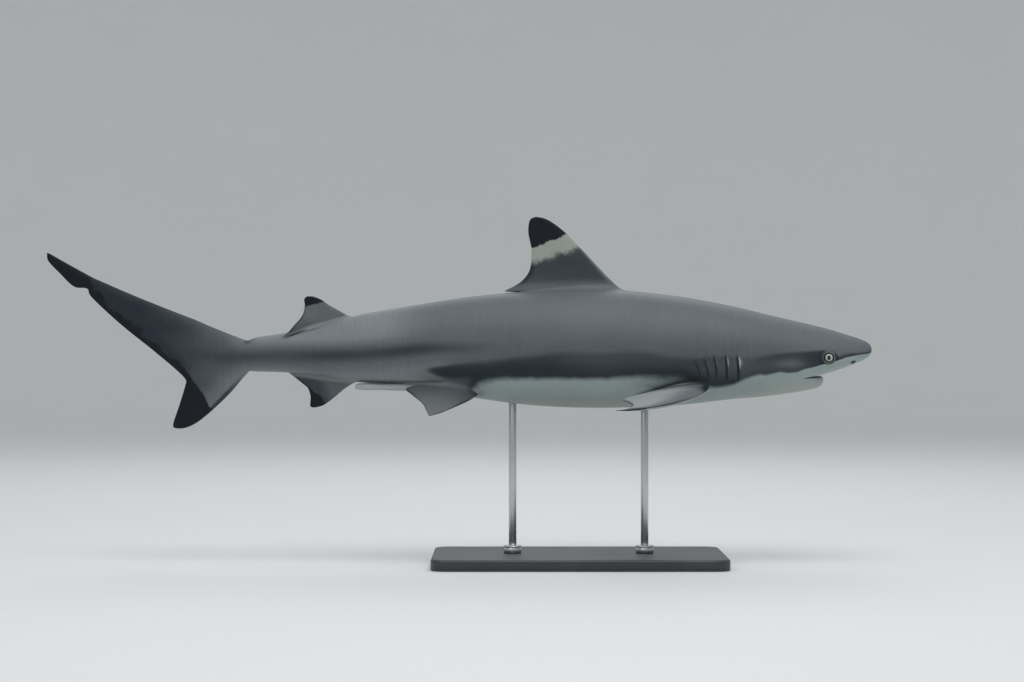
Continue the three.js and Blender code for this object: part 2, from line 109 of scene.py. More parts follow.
# at, height of the lower jaw's underside, throat and belly, squareness of that half
THROAT = np.array([
    (5.4, -3.35, 2.1), (6.1, -3.78, 2.1), (6.8, -4.03, 2.1), (8.4, -4.37, 2.1), (10.4, -4.68, 2.15),
    (12.4, -4.95, 2.2), (14.5, -5.17, 2.3), (17, -5.35, 2.3), (24, -6.1, 2.3), (33, -6.4, 2.3),
    (41, -6.1, 2.2), (48, -5.2, 2.2), (55, -3.95, 2.2), (62, -3.3, 2.2), (66.5, -2.75, 2.2),
    (70.5, -2.15, 2.2), (74.6, -2, 2),
])
THROAT_FROM = 12  # the roof is the body's underside in front of here

# The mouth is an arch: it starts at MOUTH_FRONT under the middle of the snout and
# ends at MOUTH_CORNER, where the section is MOUTH_SPREAD of its half width out.
MOUTH_FRONT, MOUTH_CORNER, MOUTH_SPREAD = 5.86, 9.5, 0.78
# From the upper lip into the slot, out again and round the jaw's lip: how far
# behind the arch, and the share of the way from the roof to the throat's surface.
MOUTH_PROFILE = np.array([
    (0, 0), (0.05, -0.05), (0.45, -0.1), (0.95, -0.05), (1.1, 0), (0.95, 0.04), (0.6, 0.05),
    (0.3, 0.12), (0.1, 0.26), (0.02, 0.44), (0.02, 0.62), (0.08, 0.77), (0.2, 0.88), (0.38, 0.95),
    (0.6, 0.99), (0.9, 1),
])

# Each gill slit: at of its middle, height of either end, how far the lower end lies
# in front of the middle, how deep it is and how bright the painted highlight on its flap's edge is.
GILL_SLITS = (
    (16.6, -3, 0, 0.08, 1, 1.9), (18, -2.95, 0.05, 0.08, 0.85, 1.1), (19.3, -2.85, -0.05, 0.17, 0.55, 0.5),
    (20.35, -2.8, -0.35, 0.3, 0.45, 0.45), (21.4, -2.7, -0.6, 0.34, 0.3, 0.2),
)
GILLS_FROM, GILLS_TO = 15.4, 22.6

# The tail fin's ribs from the upper margin to the lower one: at and height of
# either end, and the half thickness where the spine runs.
TAIL_RIBS = np.array([
    (75.6, 1.75, 75.4, -1.95, 1.5), (76.3, 1.98, 76.2, -2.8, 1.22), (77.1, 2.28, 77.65, -4.5, 1.02),
    (78, 2.62, 79.7, -6.5, 0.86), (78.7, 2.9, 81.6, -8.07, 0.78), (79.2, 3.1, 83, -8.78, 0.74),
    (79.6, 3.25, 84.15, -8.9, 0.71), (80, 3.42, 84.68, -8.5, 0.69), (80.6, 3.68, 84.05, -6.5, 0.66),
    (81.2, 3.95, 83.4, -4.6, 0.62), (81.6, 4.12, 83.05, -3.3, 0.6), (82.4, 4.45, 83.95, -2.1, 0.55),
    (85.4, 5.6, 87.2, 0.65, 0.45), (89.6, 7.3, 91, 3.7, 0.33), (93.4, 8.95, 94.5, 6.95, 0.25),
    (94.3, 9.35, 95.1, 8.05, 0.22), (95.6, 10.05, 96.7, 8.3, 0.2), (97.6, 11.15, 98.5, 10, 0.15),
    (99.45, 12.2, 99.8, 11.4, 0.1), (99.97, 12.38, 99.97, 12.3, 0.01),
])

# Rings on the snout, the mouth, the cheeks, the gills and the rest of the trunk,
# rings for each rib of the tail, and points in a ring
SNOUT_ROWS, MOUTH_ROWS, CHEEK_ROWS, GILL_ROWS, TRUNK_ROWS, TAIL_ROWS = 66, 34, 38, 91, 121, 5
COLUMNS = 140

# ---- Arithmetic


def smooth_line(places, values):
    """A smooth line through values: cubic pieces, the slope at each place is that
    between its two neighbours."""
    places, values = np.asarray(places, float), np.asarray(values, float)
    numbers = np.arange(len(places))
    last = numbers[-1]
    before, after = np.maximum(numbers - 1, 0), np.minimum(numbers + 1, last)
    slopes = (values[after] - values[before]) / (places[after] - places[before])

    def line(place):
        i = np.clip(np.searchsorted(places, place, side="right") - 1, 0, last - 1)
        step, rise = places[i + 1] - places[i], values[i + 1] - values[i]
        t = np.clip((place - places[i]) / step, 0, 1)
        bend_in, bend_out = slopes[i] * step - rise, rise - slopes[i + 1] * step
        return values[i] + t * rise + t * (1 - t) * ((1 - t) * bend_in + t * bend_out)

    return line


def column_lines(table, places=None):
    """A smooth line for each column of a table, over its rows' numbers or places."""
    table = np.asarray(table, float)
    places = np.arange(len(table)) if places is None else places
    return [smooth_line(places, column) for column in table.T]


def ramp(low, high, value):
    """0 below low, 1 above high, and 3t^2 - 2t^3 between them."""
    t = np.clip((value - low) / (high - low), 0, 1)
    return t * t * (3 - 2 * t)


def stretch(value, start, full, fading, end):
    """Up from 0 to 1 between start and full, and down again from fading to end."""
    return ramp(start, full, value) * ramp(end, fading, value)


def mix(a, b, share):
    return a + (b - a) * share


def hump(value, middle, width):
    """A bell curve, 1 at its middle."""
    return np.exp(-((value - middle) / width) ** 2)


def unit(vectors):
    return vectors / np.maximum(np.linalg.norm(vectors, axis=-1, keepdims=True), 1e-12)


def side_of(at, height, start, end):
    """Distance from the line through two points, positive on its right hand."""
    (a0, h0), (a1, h1) = start, end
    return ((at - a0) * (h0 - h1) + (height - h0) * (a1 - a0)) / math.hypot(a1 - a0, h1 - h0)


def rows(first, last, count):
    """Evenly spaced places after the first up to the last, as one column."""
    return np.linspace(first, last, count + 1)[1:, None]


def circle(count):
    """Angles of a ring's points, as one row."""
    return 2 * np.pi * np.arange(count)[None, :] / count


back_line, widest_line, half_line = column_lines(TRUNK[:, 1:], np.sqrt(TRUNK[:, 0]))
roof_line, roof_power = column_lines(ROOF[:, 1:], np.sqrt(ROOF[:, 0]))
throat_line, throat_power = column_lines(THROAT[:, 1:], np.sqrt(THROAT[:, 0]))


def halves(place):
    """Edge and squareness of the upper half, and of the lower one by the mouth's
    roof and by the throat."""
    return ((back_line(place), 2), (roof_line(place), roof_power(place)),
            (throat_line(place), throat_power(place)))


def body_section(at, angle, hung):
    """A superellipse in two halves that meet at the widest level. The angle runs
    from the back over the right side to the belly, half a turn. The lower half
    lies between the roof's curve and the throat's by the share hung."""
    place = np.sqrt(at)
    sine, cosine = np.abs(np.sin(angle)), np.cos(angle)
    widest = widest_line(place)
    curves = ((sine ** (2 / power), np.abs(cosine) ** (2 / power) * (edge - widest))
              for edge, power in halves(place))
    out, rise = (np.where(cosine > 0, top, mix(roof, throat, hung)) for top, roof, throat in zip(*curves))
    return stacked(at, -np.sign(np.sin(angle)) * out * half_line(place), widest + rise)


def body_measure(points):
    """How many times further out than the body's surface a point lies, seen from
    the middle of its section, its radius there, and the middle's height."""
    at, out, height = axes_of(points)
    place = np.sqrt(np.clip(at, 0, TRUNK[-1, 0]))
    widest = widest_line(place)
    rise = height - widest
    edge, power = (np.where(rise > 0, top, np.where(at < THROAT_FROM, roof, throat))
                   for top, roof, throat in zip(*halves(place)))
    ratio = np.abs(out / half_line(place)) ** power + np.abs(rise / (edge - widest)) ** power
    ratio **= 1 / power
    return np.maximum(ratio, 1e-6), np.maximum(np.hypot(out, rise), 1e-6), widest


def height_over_body(points):
    ratio, radius, _ = body_measure(points)
    return radius * (1 - 1 / ratio)


def laid_on_body(points, height):
    """Points moved along the spokes of their section to a height over its surface."""
    ratio, radius, widest = body_measure(points)
    scale = 1 / ratio + height / radius
    at, out, level = axes_of(points)
    return stacked(at, out * scale, widest + (level - widest) * scale)


# ---- Shells


def ring_faces(rings, around):
    """Quads that join a grid's rings, each ring closed on itself."""
    corner = np.arange(rings * around).reshape(rings, around)
    beside = np.roll(corner, -1, axis=1)
    return np.stack([corner[:-1], beside[:-1], beside[1:], corner[1:]], -1).reshape(-1, 4)


def shell(points, marks=None):
    """A closed surface from rings of points in metres: rings joined by quads, the
    first and last closed by a fan to their mean point. It is turned to face
    outwards. marks are values at the points, by name."""
    rings, around = points.shape[:2]
    vertices = np.concatenate([points.reshape(-1, 3), points[[0, -1]].mean(axis=1)])
    quads = ring_faces(rings, around)
    first, middle = np.arange(around), np.full(around, rings * around)
    last = first + (rings - 1) * around
    fans = np.concatenate([
        np.stack([np.roll(first, -1), first, middle], -1),
        np.stack([last, np.roll(last, -1), middle + 1], -1),
    ])
    a, b, c, d = (vertices[corners] for corners in quads.T)
    if (a * np.cross(c, d - b)).sum() < 0:  # six times the volume
        quads, fans = quads[:, ::-1], fans[:, ::-1]
    values = {}
    for name, grid in (marks or {}).items():
        grid = np.broadcast_to(grid, (rings, around))
        values[name] = np.concatenate([grid.ravel(), grid[[0, -1]].mean(axis=1)])
    return vertices, quads, fans, values


def mirrored(parts):
    """The same shell on the other side of the shark."""
    vertices, quads, fans, values = parts
    return vertices * np.array([1, -1, 1]), quads[:, ::-1], fans[:, ::-1], values


def new_object(name, vertices, faces, material):
    """A smooth object in the scene."""
    mesh = bpy.data.meshes.new(name)
    mesh.from_pydata(vertices.tolist(), [], faces)
    mesh.polygons.foreach_set("use_smooth", np.ones(len(faces), bool))
    mesh.materials.append(material)
    made = bpy.data.objects.new(name, mesh)
    bpy.context.scene.collection.objects.link(made)
    return made


def new_piece(name, shells, material, slot, *nodes):
    """One piece from shells, with their values as point attributes, in the place
    of CAD nodes."""
    faces, start = [], 0
    for vertices, quads, fans, _ in shells:
        faces += (quads + start).tolist() + (fans + start).tolist()
        start += len(vertices)
    piece = new_object(name, np.concatenate([parts[0] for parts in shells]), faces, material)
    for mark in shells[0][3]:
        values = np.concatenate([parts[3][mark] for parts in shells]).astype(np.float32)
        piece.data.attributes.new(mark, "FLOAT", "POINT").data.foreach_set("value", values)
    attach(piece, "root")
    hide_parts(*nodes)


def outward(normals, points):
    """Normals of rings, turned away from the rings' middles."""
    normals = unit(normals)
    spoke = points - points.mean(axis=1, keepdims=True)
    return normals * (1 if (normals * spoke).sum() > 0 else -1)


def round_ring(points):
    """From each point's neighbour on one side in its ring to that on the other."""
    return np.roll(points, -1, axis=1) - np.roll(points, 1, axis=1)


BLADE_EDGE = 0.02


def blade(angle, thickest, rear_power):
    """Round a blade's section from its front edge: the share of the way to the rear
    edge, the half thickness (half an ellipse up to the thickest place, a flatter
    curve behind it), what a thin rounded edge adds to that, and the side."""
    sine, cosine = np.abs(np.sin(angle)), np.cos(angle)
    power = np.where(cosine > 0, 2, rear_power)
    far = np.abs(cosine) ** (2 / power)
    along = np.where(cosine > 0, thickest * (1 - far), thickest + (1 - thickest) * far)
    return along, sine ** (2 / power), sine ** 0.3 * BLADE_EDGE, np.sign(np.sin(angle))


# ---- Trunk and head

EYE_AT = 5.7
EYE_HOLLOW, NOSTRIL_HOLLOW = 8 * MM, 7 * MM
PIT_AT = 75.65  # the notch in front of the tail fin's upper margin
NOSTRIL_AT, NOSTRIL_LEVEL = 2.55, -0.86


def nostril_place():
    """The right nostril's middle, on the snout's underside."""
    place = math.sqrt(NOSTRIL_AT)
    widest, power = widest_line(place), roof_power(place)
    share = abs((NOSTRIL_LEVEL - widest) / (roof_line(place) - widest))
    return np.array([NOSTRIL_AT, -half_line(place) * (1 - share ** power) ** (1 / power), NOSTRIL_LEVEL])


NOSTRIL = nostril_place()


def gill_cut(at, height):
    """Depth of the gill slits, the painted highlight on each flap's edge and the painted
    shade in each slit: the skin swells towards each slit's front edge, drops into it
    and comes up slowly behind. All of it fades at the slit's ends."""
    depth, edge, dark = np.zeros((3, *np.broadcast(at, height).shape))
    for middle, low, high, lean, deep, pale in GILL_SLITS:
        above = (height - (low + high) / 2) / ((high - low) / 2)
        behind = at - middle - lean * above - 0.1 * above ** 2 + 0.05
        length = np.sqrt(np.clip(1 - above ** 2, 0, 1))
        flap = 0.1 * np.exp(behind / 0.42) * ramp(0, -0.07, behind)
        cut = 0.3 * np.exp(-behind / 0.3) * ramp(0, 0.07, behind)
        depth += length * deep * (flap - cut)
        # painted highlight along the flap's edge, and a painted glint high in front of the slit
        edge += length * pale * hump(behind, -0.1, 0.08) * ramp(-0.3, 0.4, above)
        edge += 0.2 * pale ** 2 * hump(behind, -0.28, 0.18) * hump(above, 0.5, 0.28)
        # painted shade just inside the slit
        dark += length * deep * hump(behind, 0.1, 0.1)
    return depth, edge, dark


def trunk_shell():
    """Rings from the snout to the tail's tip. Up to the gills they bend along the
    mouth's arch: in front of it at = arch * a share, then comes the mouth's own
    profile, then even steps. Behind the trunk each ring is a rib of the tail."""
    angle = circle(COLUMNS)
    spread = np.where(np.cos(angle) < 0, np.abs(np.sin(angle)) ** (2 / 3), 1) / MOUTH_SPREAD
    spread = np.minimum(spread, 1)
    arch = MOUTH_FRONT + (MOUTH_CORNER - MOUTH_FRONT) * spread ** 3
    jump = ramp(0, 1, 1 - spread ** 2.4)
    snout_rows = rows(0, 1, SNOUT_ROWS + 1)[:-1] ** 1.7
    steps = np.linspace(0, len(MOUTH_PROFILE) - 1, MOUTH_ROWS)[:, None]
    behind, share = (line(steps) for line in column_lines(MOUTH_PROFILE))
    even = steps / steps[-1] * MOUTH_PROFILE[-1, 0]
    mouth_at = arch + mix(even, behind, jump)
    rear_rows = np.concatenate([
        rows(GILLS_FROM, GILLS_TO, GILL_ROWS), rows(GILLS_TO, TRUNK[-1, 0], TRUNK_ROWS)])
    cheek_at = mix(mouth_at[-1:], GILLS_FROM, rows(0, 1, CHEEK_ROWS))
    at = np.concatenate([arch * snout_rows, mouth_at, cheek_at, rear_rows + 0 * angle])
    share = np.concatenate([0 * snout_rows, share, np.ones((CHEEK_ROWS + len(rear_rows), 1))])
    points = body_section(at, angle, mix(ramp(7.5, 13, at), np.clip(share, -1, 1), jump))

    _, out, height = axes_of(points)
    # edge is a painted highlight on the gill flaps, dark is painted shade in the slits
    depth, edge, dark = gill_cut(at, height)
    on_side = ramp(0.55, 0.8, np.abs(out) / half_line(np.sqrt(at)))
    from_eye = np.hypot(at - EYE_AT, height - EYE_LEVEL) / MM
    from_nostril = np.linalg.norm(stacked(at, -np.abs(out), height) - NOSTRIL, axis=-1) / MM
    bump = (depth - EYE_HOLLOW * ramp(13.5, 9, from_eye)) * on_side
    bump -= NOSTRIL_HOLLOW * ramp(6.2, 4.2, from_nostril)
    normals = outward(np.cross(np.gradient(points, axis=0), round_ring(points)), points)
    points = points + normals * bump[..., None]

    tail, own = tail_rings(angle)
    # slot is painted shadow in the mouth's opening and on the lip's upper face
    slot = 0.92 * ramp(0.32, 0.16, share) * ramp(0.04, 0.4, jump) * ramp(0.02, 0.3, at - arch)
    marks = trunk_marks(at, points[..., 2], slot, edge * on_side, dark * on_side)
    return shell(in_metres(np.concatenate([points, tail])), {
        name: np.concatenate([marks[name], own[name]]) for name in marks
    })


def tail_rings(angle):
    """Ribs of the tail fin, each a blade from its upper end to its lower one that
    is thickest where the spine runs."""
    count = len(TAIL_RIBS) - 1
    rib = np.linspace(0, count, TAIL_ROWS * count + 1)[:, None]
    top_at, top, low_at, low, half = (line(rib) for line in column_lines(TAIL_RIBS))
    length = np.hypot(top_at - low_at, top - low)
    thin = ramp(0, 2.5, rib)
    spine = mix(0.5, 0.3 * np.minimum(1, 5.6 / np.maximum(length, 0.1)), thin)
    along, thick, edge, side = blade(angle, spine, mix(2, 1.05, thin))
    points = stacked(mix(top_at, low_at, along), -side * (thick * half + edge * thin), mix(top, low, along))
    return points, tail_marks(rib, points, along, length)


# ---- Markings

# cover is above 0 over the white belly's edge, shade is how dark the skin is there,
# partly its own colour and partly painted shade, black and band are above 0 in a
# fin's black tip and pale band, inside is painted shade in the mouth's slot and
# other hollows and painted shadow where fins and claspers lie on the body, pale
# brightens, partly as painted highlights, and warm tints the fins.
MARKS = {"cover": 6, "shade": 0, "black": -3, "band": -3, "inside": 0, "pale": 0, "warm": 0}


def all_marks(shape, **given):
    """Every mark over a grid, those not given at what they are on a plain fin."""
    return {name: np.zeros(shape) + given.get(name, plain) for name, plain in MARKS.items()}


WHITE_EDGE = smooth_line(
    (0, 0.5, 3.3, 4.4, 6.1, 7.4, 8.8, 9.6, 10.6, 11.6, 13.1, 14.4, 16, 17.5, 20.3, 22, 24, 28,
     33, 42, 45.5, 47.2, 48.2, 49, 50.5, 54, 57, 62),
    (0.35, 0.2, -0.22, -0.58, -1.02, -1.38, -1.72, -2.0, -2.12, -2.02, -2.32, -2.38, -2.94, -3.6,
     -3.85, -3.55, -3.05, -2.6, -2.8, -2.82, -2.95, -3.35, -4.2, -5.3, -6.2, -7, -8, -9))
WHITE_BLUR = smooth_line(
    (0, 6, 12, 15, 20, 23.5, 27, 31, 46, 49, 60), (0.08, 0.1, 0.16, 0.3, 0.35, 1, 0.6, 0.42, 0.55, 1, 1))
BAND_TOP = smooth_line(
    (0, 3, 4.6, 6, 8, 12, 15, 18, 22, 24.4, 28, 33, 37.6, 42.5, 47.4, 51, 53.5, 56),
    (0, -0.2, -0.1, 0.5, 0.5, 0.3, 0, 0.3, -0.1, 0, 0.7, 0.55, 0.5, -0.1, -0.7, -1.15, -1.45, -1.8))
BAND_DEPTH = smooth_line(
    (0, 3, 4.6, 5.5, 7.5, 9.5, 12, 14, 16, 18, 21, 26, 33, 38, 42.5, 48, 52, 53.3, 54.8),
    (0, 0.1, 0.45, 0.76, 0.84, 0.7, 0.68, 0.62, 0.55, 0.68, 0.75, 0.62, 0.62, 0.74, 0.8, 0.9, 0.88, 0.7, 0))
STREAK = smooth_line(
    (30, 38, 42.5, 48, 53.5, 58, 62, 70, 81, 90), (2, 1.5, 1.1, 0.9, 0.75, 0.35, 0.05, -0.1, 0.1, 2))
# Line of the painted shadow over the pectoral fin's root
AXIL = smooth_line(
    (19.6, 20.35, 21.2, 22.1, 24.3, 27, 28.8), (-3.9, -3.2, -3.04, -3.02, -3.42, -4.27, -4.85))


def creases(at, height):
    """Painted shadows where the fins' rear ends and the claspers lie along the body,
    over the pectoral fin's root and above the pelvic fin's front root: bell curves
    over a line's height, each on its own stretch of the body."""
    above = height - AXIL(at)
    width = np.where(above > 0, mix(0.44, 0.23, ramp(21.5, 28, at)), 0.3)
    axil = 1.1 * hump(above, 0, width) * stretch(at, 19.9, 20.6, 28, 29.3)
    dorsal = 0.55 * hump(height, 3.2 - 0.27 * (at - 67.2), 0.13) * stretch(at, 66.2, 67.6, 70.6, 71.6)
    anal = 0.3 * hump(height, -2.2 - 0.05 * (71 - at), 0.09) * stretch(at, 64.5, 66.5, 70.4, 71)
    clasper = 0.85 * hump(height, -3.22, 0.16) * stretch(at, 51.2, 52.6, 61.8, 62.8)
    # the last term is a painted shadow above the pelvic fin's front root
    return axil + dorsal + anal + clasper + 0.5 * hump(at, 47.6, 0.7) * hump(height, -4.7, 0.35)


def trunk_marks(at, height, slot, edge, dark):
    """The trunk's marks: a dark band along the flank that hangs from its upper line
    and ends in a point, partly the skin's own colour and partly painted shade of the
    lower flank, a streak towards the tail with paler skin over and under it, and a
    wide faint painted shade down the flanks. slot is painted shadow in the mouth,
    edge a painted highlight on the gill flaps and dark painted shade in the gill slits."""
    at = np.clip(at, 0, 100)
    above_white, below_top = height - WHITE_EDGE(at), BAND_TOP(at) - height
    below_streak = STREAK(at) - height
    soft = mix(0.22, 0.75, ramp(9, 18, at)) - 0.35 * ramp(46, 51, at)
    # The band is the skin's own dark colour, deepened by painted shade of the lower flank
    band = BAND_DEPTH(at) * ramp(-soft, soft, below_top)
    band += 0.3 * ramp(2.4, 0.2, above_white) * ramp(0, 1, below_top) * stretch(at, 12, 20, 53.5, 55.5)
    band -= 0.42 * hump(at, 10.4, 1.8) * hump(height, -1, 0.5) + 0.16 * hump(at, 18.6, 3)
    band *= mix(1, ramp(-3.5, -2.2, height - 0.6 * ramp(51, 54, at)), ramp(46.8, 49.5, at))
    band += 0.38 * hump(at, 48.8, 1.9) * hump(height, -3.9, 0.9)
    band += 0.25 * hump(at, 17.2, 1) * hump(height, -3.3, 0.4)
    line = 0.8 * hump(above_white, 0.12, mix(0.13, 0.34, ramp(0.6, 4.2, at))) * ramp(6.5, 4.8, at)
    far_back = ramp(66, 72, at)
    streak = mix(0.36, 0.74, ramp(44, 56, at)) * hump(below_streak, 0, 1.02) * ramp(38, 47, at)
    streak = streak * mix(1, 0.82, far_back)
    low = ramp(0.4, mix(2.9, 2.1, far_back), below_streak) * ramp(49, 53, at) * ramp(0.8, 0.3, band)
    # wide is painted shade: the flanks are darker lower down, away from the light above
    wide = 0.3 * ramp(5, 0.6, height) * stretch(at, 3, 14, 50, 70) * (1 - 0.6 * low)
    lift = 0.55 * stretch(at, 50, 60, 74, 76) * ramp(0.6, 2.2, -below_streak)
    blur = WHITE_BLUR(at)
    return all_marks(
        at.shape, cover=np.maximum(above_white / blur, -3) + np.minimum(above_white + 3 * blur, 0) / 0.4,
        shade=np.clip(np.maximum.reduce([band, streak, line, wide]) + dark, 0, 1),
        inside=np.clip(slot + 0.85 * creases(at, height), 0, 1), pale=edge + 0.6 * low + lift,
    )


def skin_marks_near(points):
    """The trunk's marks at points away from the mouth and the gills."""
    return trunk_marks(points[..., 0], points[..., 2], 0, 0, 0)


def tail_marks(rib, points, along, length):
    """Black beyond a slanting line on the lower lobe, along the upper lobe's rear
    margin and at its tip, and a paler field at the lower lobe's front edge. The
    stem's marks run out into them."""
    at, height = points[..., 0], points[..., 2]
    from_rear = (1 - along) * length
    lobe = np.where(height < -1.6, side_of(at, height, (82.75, -2.1), (79.8, -6.67)), -3)
    margin = np.where(rib > 10.2, (0.85 - from_rear) * 0.4, -3)
    tip = (at - 95) * 0.25
    streak = 0.3 * hump(height - STREAK(at), -0.2, 0.8) * ramp(85, 77, at)
    rear = 0.3 * ramp(2.4, 0.4, from_rear) * ramp(-2.5, 0, height)
    from_front = side_of(at, height, (75.6, -1.9), (82.4, -8.9))
    front = ramp(3.2, 0.3, from_front) * ramp(-1.2, -3, height)
    edge = ramp(0.22, 0.05, from_front) * ramp(-2, -3, height)
    own = all_marks(
        at.shape, shade=0.34 + 0.64 * ramp(76, 90, at) + streak + rear - 0.35 * front + 0.7 * edge,
        black=np.maximum.reduce([lobe, margin, tip]), pale=0.3 * front * (1 - edge),
    )
    stem = skin_marks_near(points)
    marks = {name: mix(stem[name], own[name], ramp(75, 78.5, at)) for name in own}
    # painted shadow in the notch in front of the tail fin
    pit = 0.85 * hump(at, PIT_AT, 0.32) * ramp(1.1, 1.7, height)
    marks["shade"] = np.clip(marks["shade"] + pit, 0, 1)
    return marks


# ---- Fins


class Fin:
    """Sizes and marks of a fin. Ribs run from its front edge to its rear edge: the
    distance back from at and the span from level (or from out) of either end.
    half is the half thickness at the root and the tip, fillet the radius at the
    root's front, blend how high the body's colours run out over the fin."""

    lean = 0  # how far the free rear tip lies over to one side
    band_line = rear_line = None

    def __init__(self, **sizes):
        vars(self).update(sizes)


# The fins on the middle line are black beyond tip_line, pale between it and
# band_line, and darker behind rear_line.
FIRST_DORSAL = Fin(
    at=31, level=7.6, up=1, half=(0.62, 0.1), fillet=0.75, blend=1.5, shade=0.66, warm=0.35,
    tip_line=((36.6, 14.75), (41.2, 13)), band_line=((34.9, 13.1), (41.2, 11.05)),
    ribs=[(-1.3, -1.2, 9.2, -1.2), (-1.1, -0.1, 9.8, -0.15), (-0.75, 0.15, 12.1, 0.03),
          (-0.35, 0.5, 13.45, 0.15), (0.1, 1, 12.4, 0.7), (0.75, 1.65, 11.3, 1.45), (2.05, 3, 10.4, 2.8),
          (3.9, 5, 10.2, 5), (5.1, 6.2, 10.4, 6.2), (6.05, 7.2, 10.6, 7.2), (7.5, 8.35, 10.55, 8.3),
          (8.6, 8.95, 10.3, 8.9), (9.55, 9.15, 9.75, 9.15)],
)
SECOND_DORSAL = Fin(
    at=62.5, level=2.5, up=1, half=(0.42, 0.08), fillet=0.45, blend=0.5, lean=-1.4, shade=0, warm=0.5,
    tip_line=((67, 6.35), (68.8, 5.7)), rear_line=((68.9, 5.1), (66.6, 3.6)),
    ribs=[(0.2, 0.8, 4.6, 0.2), (0.7, 2.05, 5.4, 0.72), (0.85, 2.2, 7.4, 0.12), (1.1, 2.35, 8.8, -0.36),
          (1.3, 2.5, 8.1, 0.25), (1.6, 2.65, 7.45, 1.05), (1.95, 2.85, 6.65, 2), (2.6, 3.2, 6.3, 2.8),
          (3.3, 3.6, 6.2, 3.6), (4, 4.1, 6.28, 4.1), (4.6, 4.4, 6.2, 4.4), (5.25, 4.62, 5.9, 4.62)],
)
ANAL = Fin(
    at=62.6, level=-2.25, up=-1, half=(0.42, 0.08), fillet=0.45, blend=0.6, shade=0.03, warm=0.2,
    tip_line=((68.1, -3.75), (66.2, -5.6)), rear_line=((66.7, -2.6), (65.3, -5)),
    ribs=[(0.5, 0.3, 4.6, -0.1), (0.15, 0.95, 5.2, 0.22), (0.2, 1.08, 7, -0.07), (0.35, 1.22, 8.1, -0.2),
          (0.65, 1.42, 7.3, 0.45), (1, 1.65, 6.5, 1.1), (1.35, 1.9, 5.75, 1.75), (2, 2.45, 5.45, 2.5),
          (2.65, 3, 5.4, 3.1), (3.7, 3.75, 5.45, 3.72), (4.3, 4, 5.4, 4), (4.95, 4.12, 5.05, 4.12)],
)
# A paired fin drops by droop at its tip, sooner with a higher settle, and its root
# climbs by rise towards the tail, nearly two thirds of it within the length over.
# shade darkens its root, its underside is black from tip_from of its reach, and
# its upper side is painted paler as a highlight of the light from above, by the share pale from pale_from
# on.
PECTORAL = Fin(
    at=20.2, out=5, level=-4, droop=1.78, settle=2.2, rise=-0.6, over=10, half=(0.8, 0.08), fillet=0.55,
    blend=0.6, tip_from=0.88, shade=0, pale=1.1, pale_from=0.15, warm=0.1,
    ribs=[(0.5, -1.6, 5.6, -1.6), (0, 0, 6.6, 0), (0.7, 1.8, 8.9, 1.8), (1.75, 3.6, 10.4, 3.6),
          (3.1, 5.4, 9.75, 5.4), (5.2, 8, 9.45, 8), (7.8, 11, 10.2, 11), (10.35, 13.6, 11.15, 13.6),
          (11.55, 14.55, 11.65, 14.55)],
)
PELVIC = Fin(
    at=47.6, out=2.7, level=-4.5, droop=3.94, settle=1, rise=1.4, over=2.2, half=(0.45, 0.06), fillet=0.4,
    blend=1.2, tip_from=0.95, shade=0.66, pale=0.2, pale_from=0.9, warm=0.5,
    ribs=[(0.6, -1, 5.2, -1), (0, 0, 6.2, 0), (0.5, 0.9, 8.6, 0.9), (1.3, 1.8, 7.85, 1.8),
          (2.6, 2.8, 6.65, 2.8), (4.1, 3.7, 6.15, 3.7), (5.55, 4.32, 5.85, 4.32)],
)
FIN_THICKEST, FIN_REAR_POWER = 0.3, 1.35
FIN_COLUMNS, FIN_ROWS, FILLET_ROWS, FIN_STEPS = 60, 44, 8, 301
REAR_FILLET = 0.06
SUNK, SUNK_OUT = (-0.35, -0.05), (0.12, 0.16)  # two rows under the body's skin
CLASPER_FROM, CLASPER_TO, CLASPER_ROWS, CLASPER_COLUMNS = 52.2, 62.55, 54, 20


def fin_point(fin, rib, angle):
    """A fin's surface: a blade along each rib, from the front edge over one face to
    the rear edge and back over the other, thinner towards the tip."""
    front, front_span, rear, rear_span = (line(rib) for line in column_lines(fin.ribs))
    chord, thick, edge, side = blade(angle, FIN_THICKEST, FIN_REAR_POWER)
    back, span = mix(front, rear, chord), mix(front_span, rear_span, chord)
    reach = np.clip(span / fin.ribs[-1][1], 0, 1)
    half = mix(*fin.half, reach ** 0.7) * np.clip((rear - front) / 1.5, 0.15, 1)
    thick = (thick * half + edge) * side
    if hasattr(fin, "up"):
        lean = fin.lean * ramp(3.5, 9, back) * ramp(3.5, 0.3, span)
        place = thick + lean, fin.level + fin.up * span
    else:
        climb = fin.rise * (1 - np.exp(-back / fin.over))
        drop = fin.droop * (1 - (1 - reach) ** fin.settle)
        place = -(fin.out + span), fin.level + climb - drop + thick
    return stacked(fin.at + back, *place), chord + 0 * rib, span, thick, reach


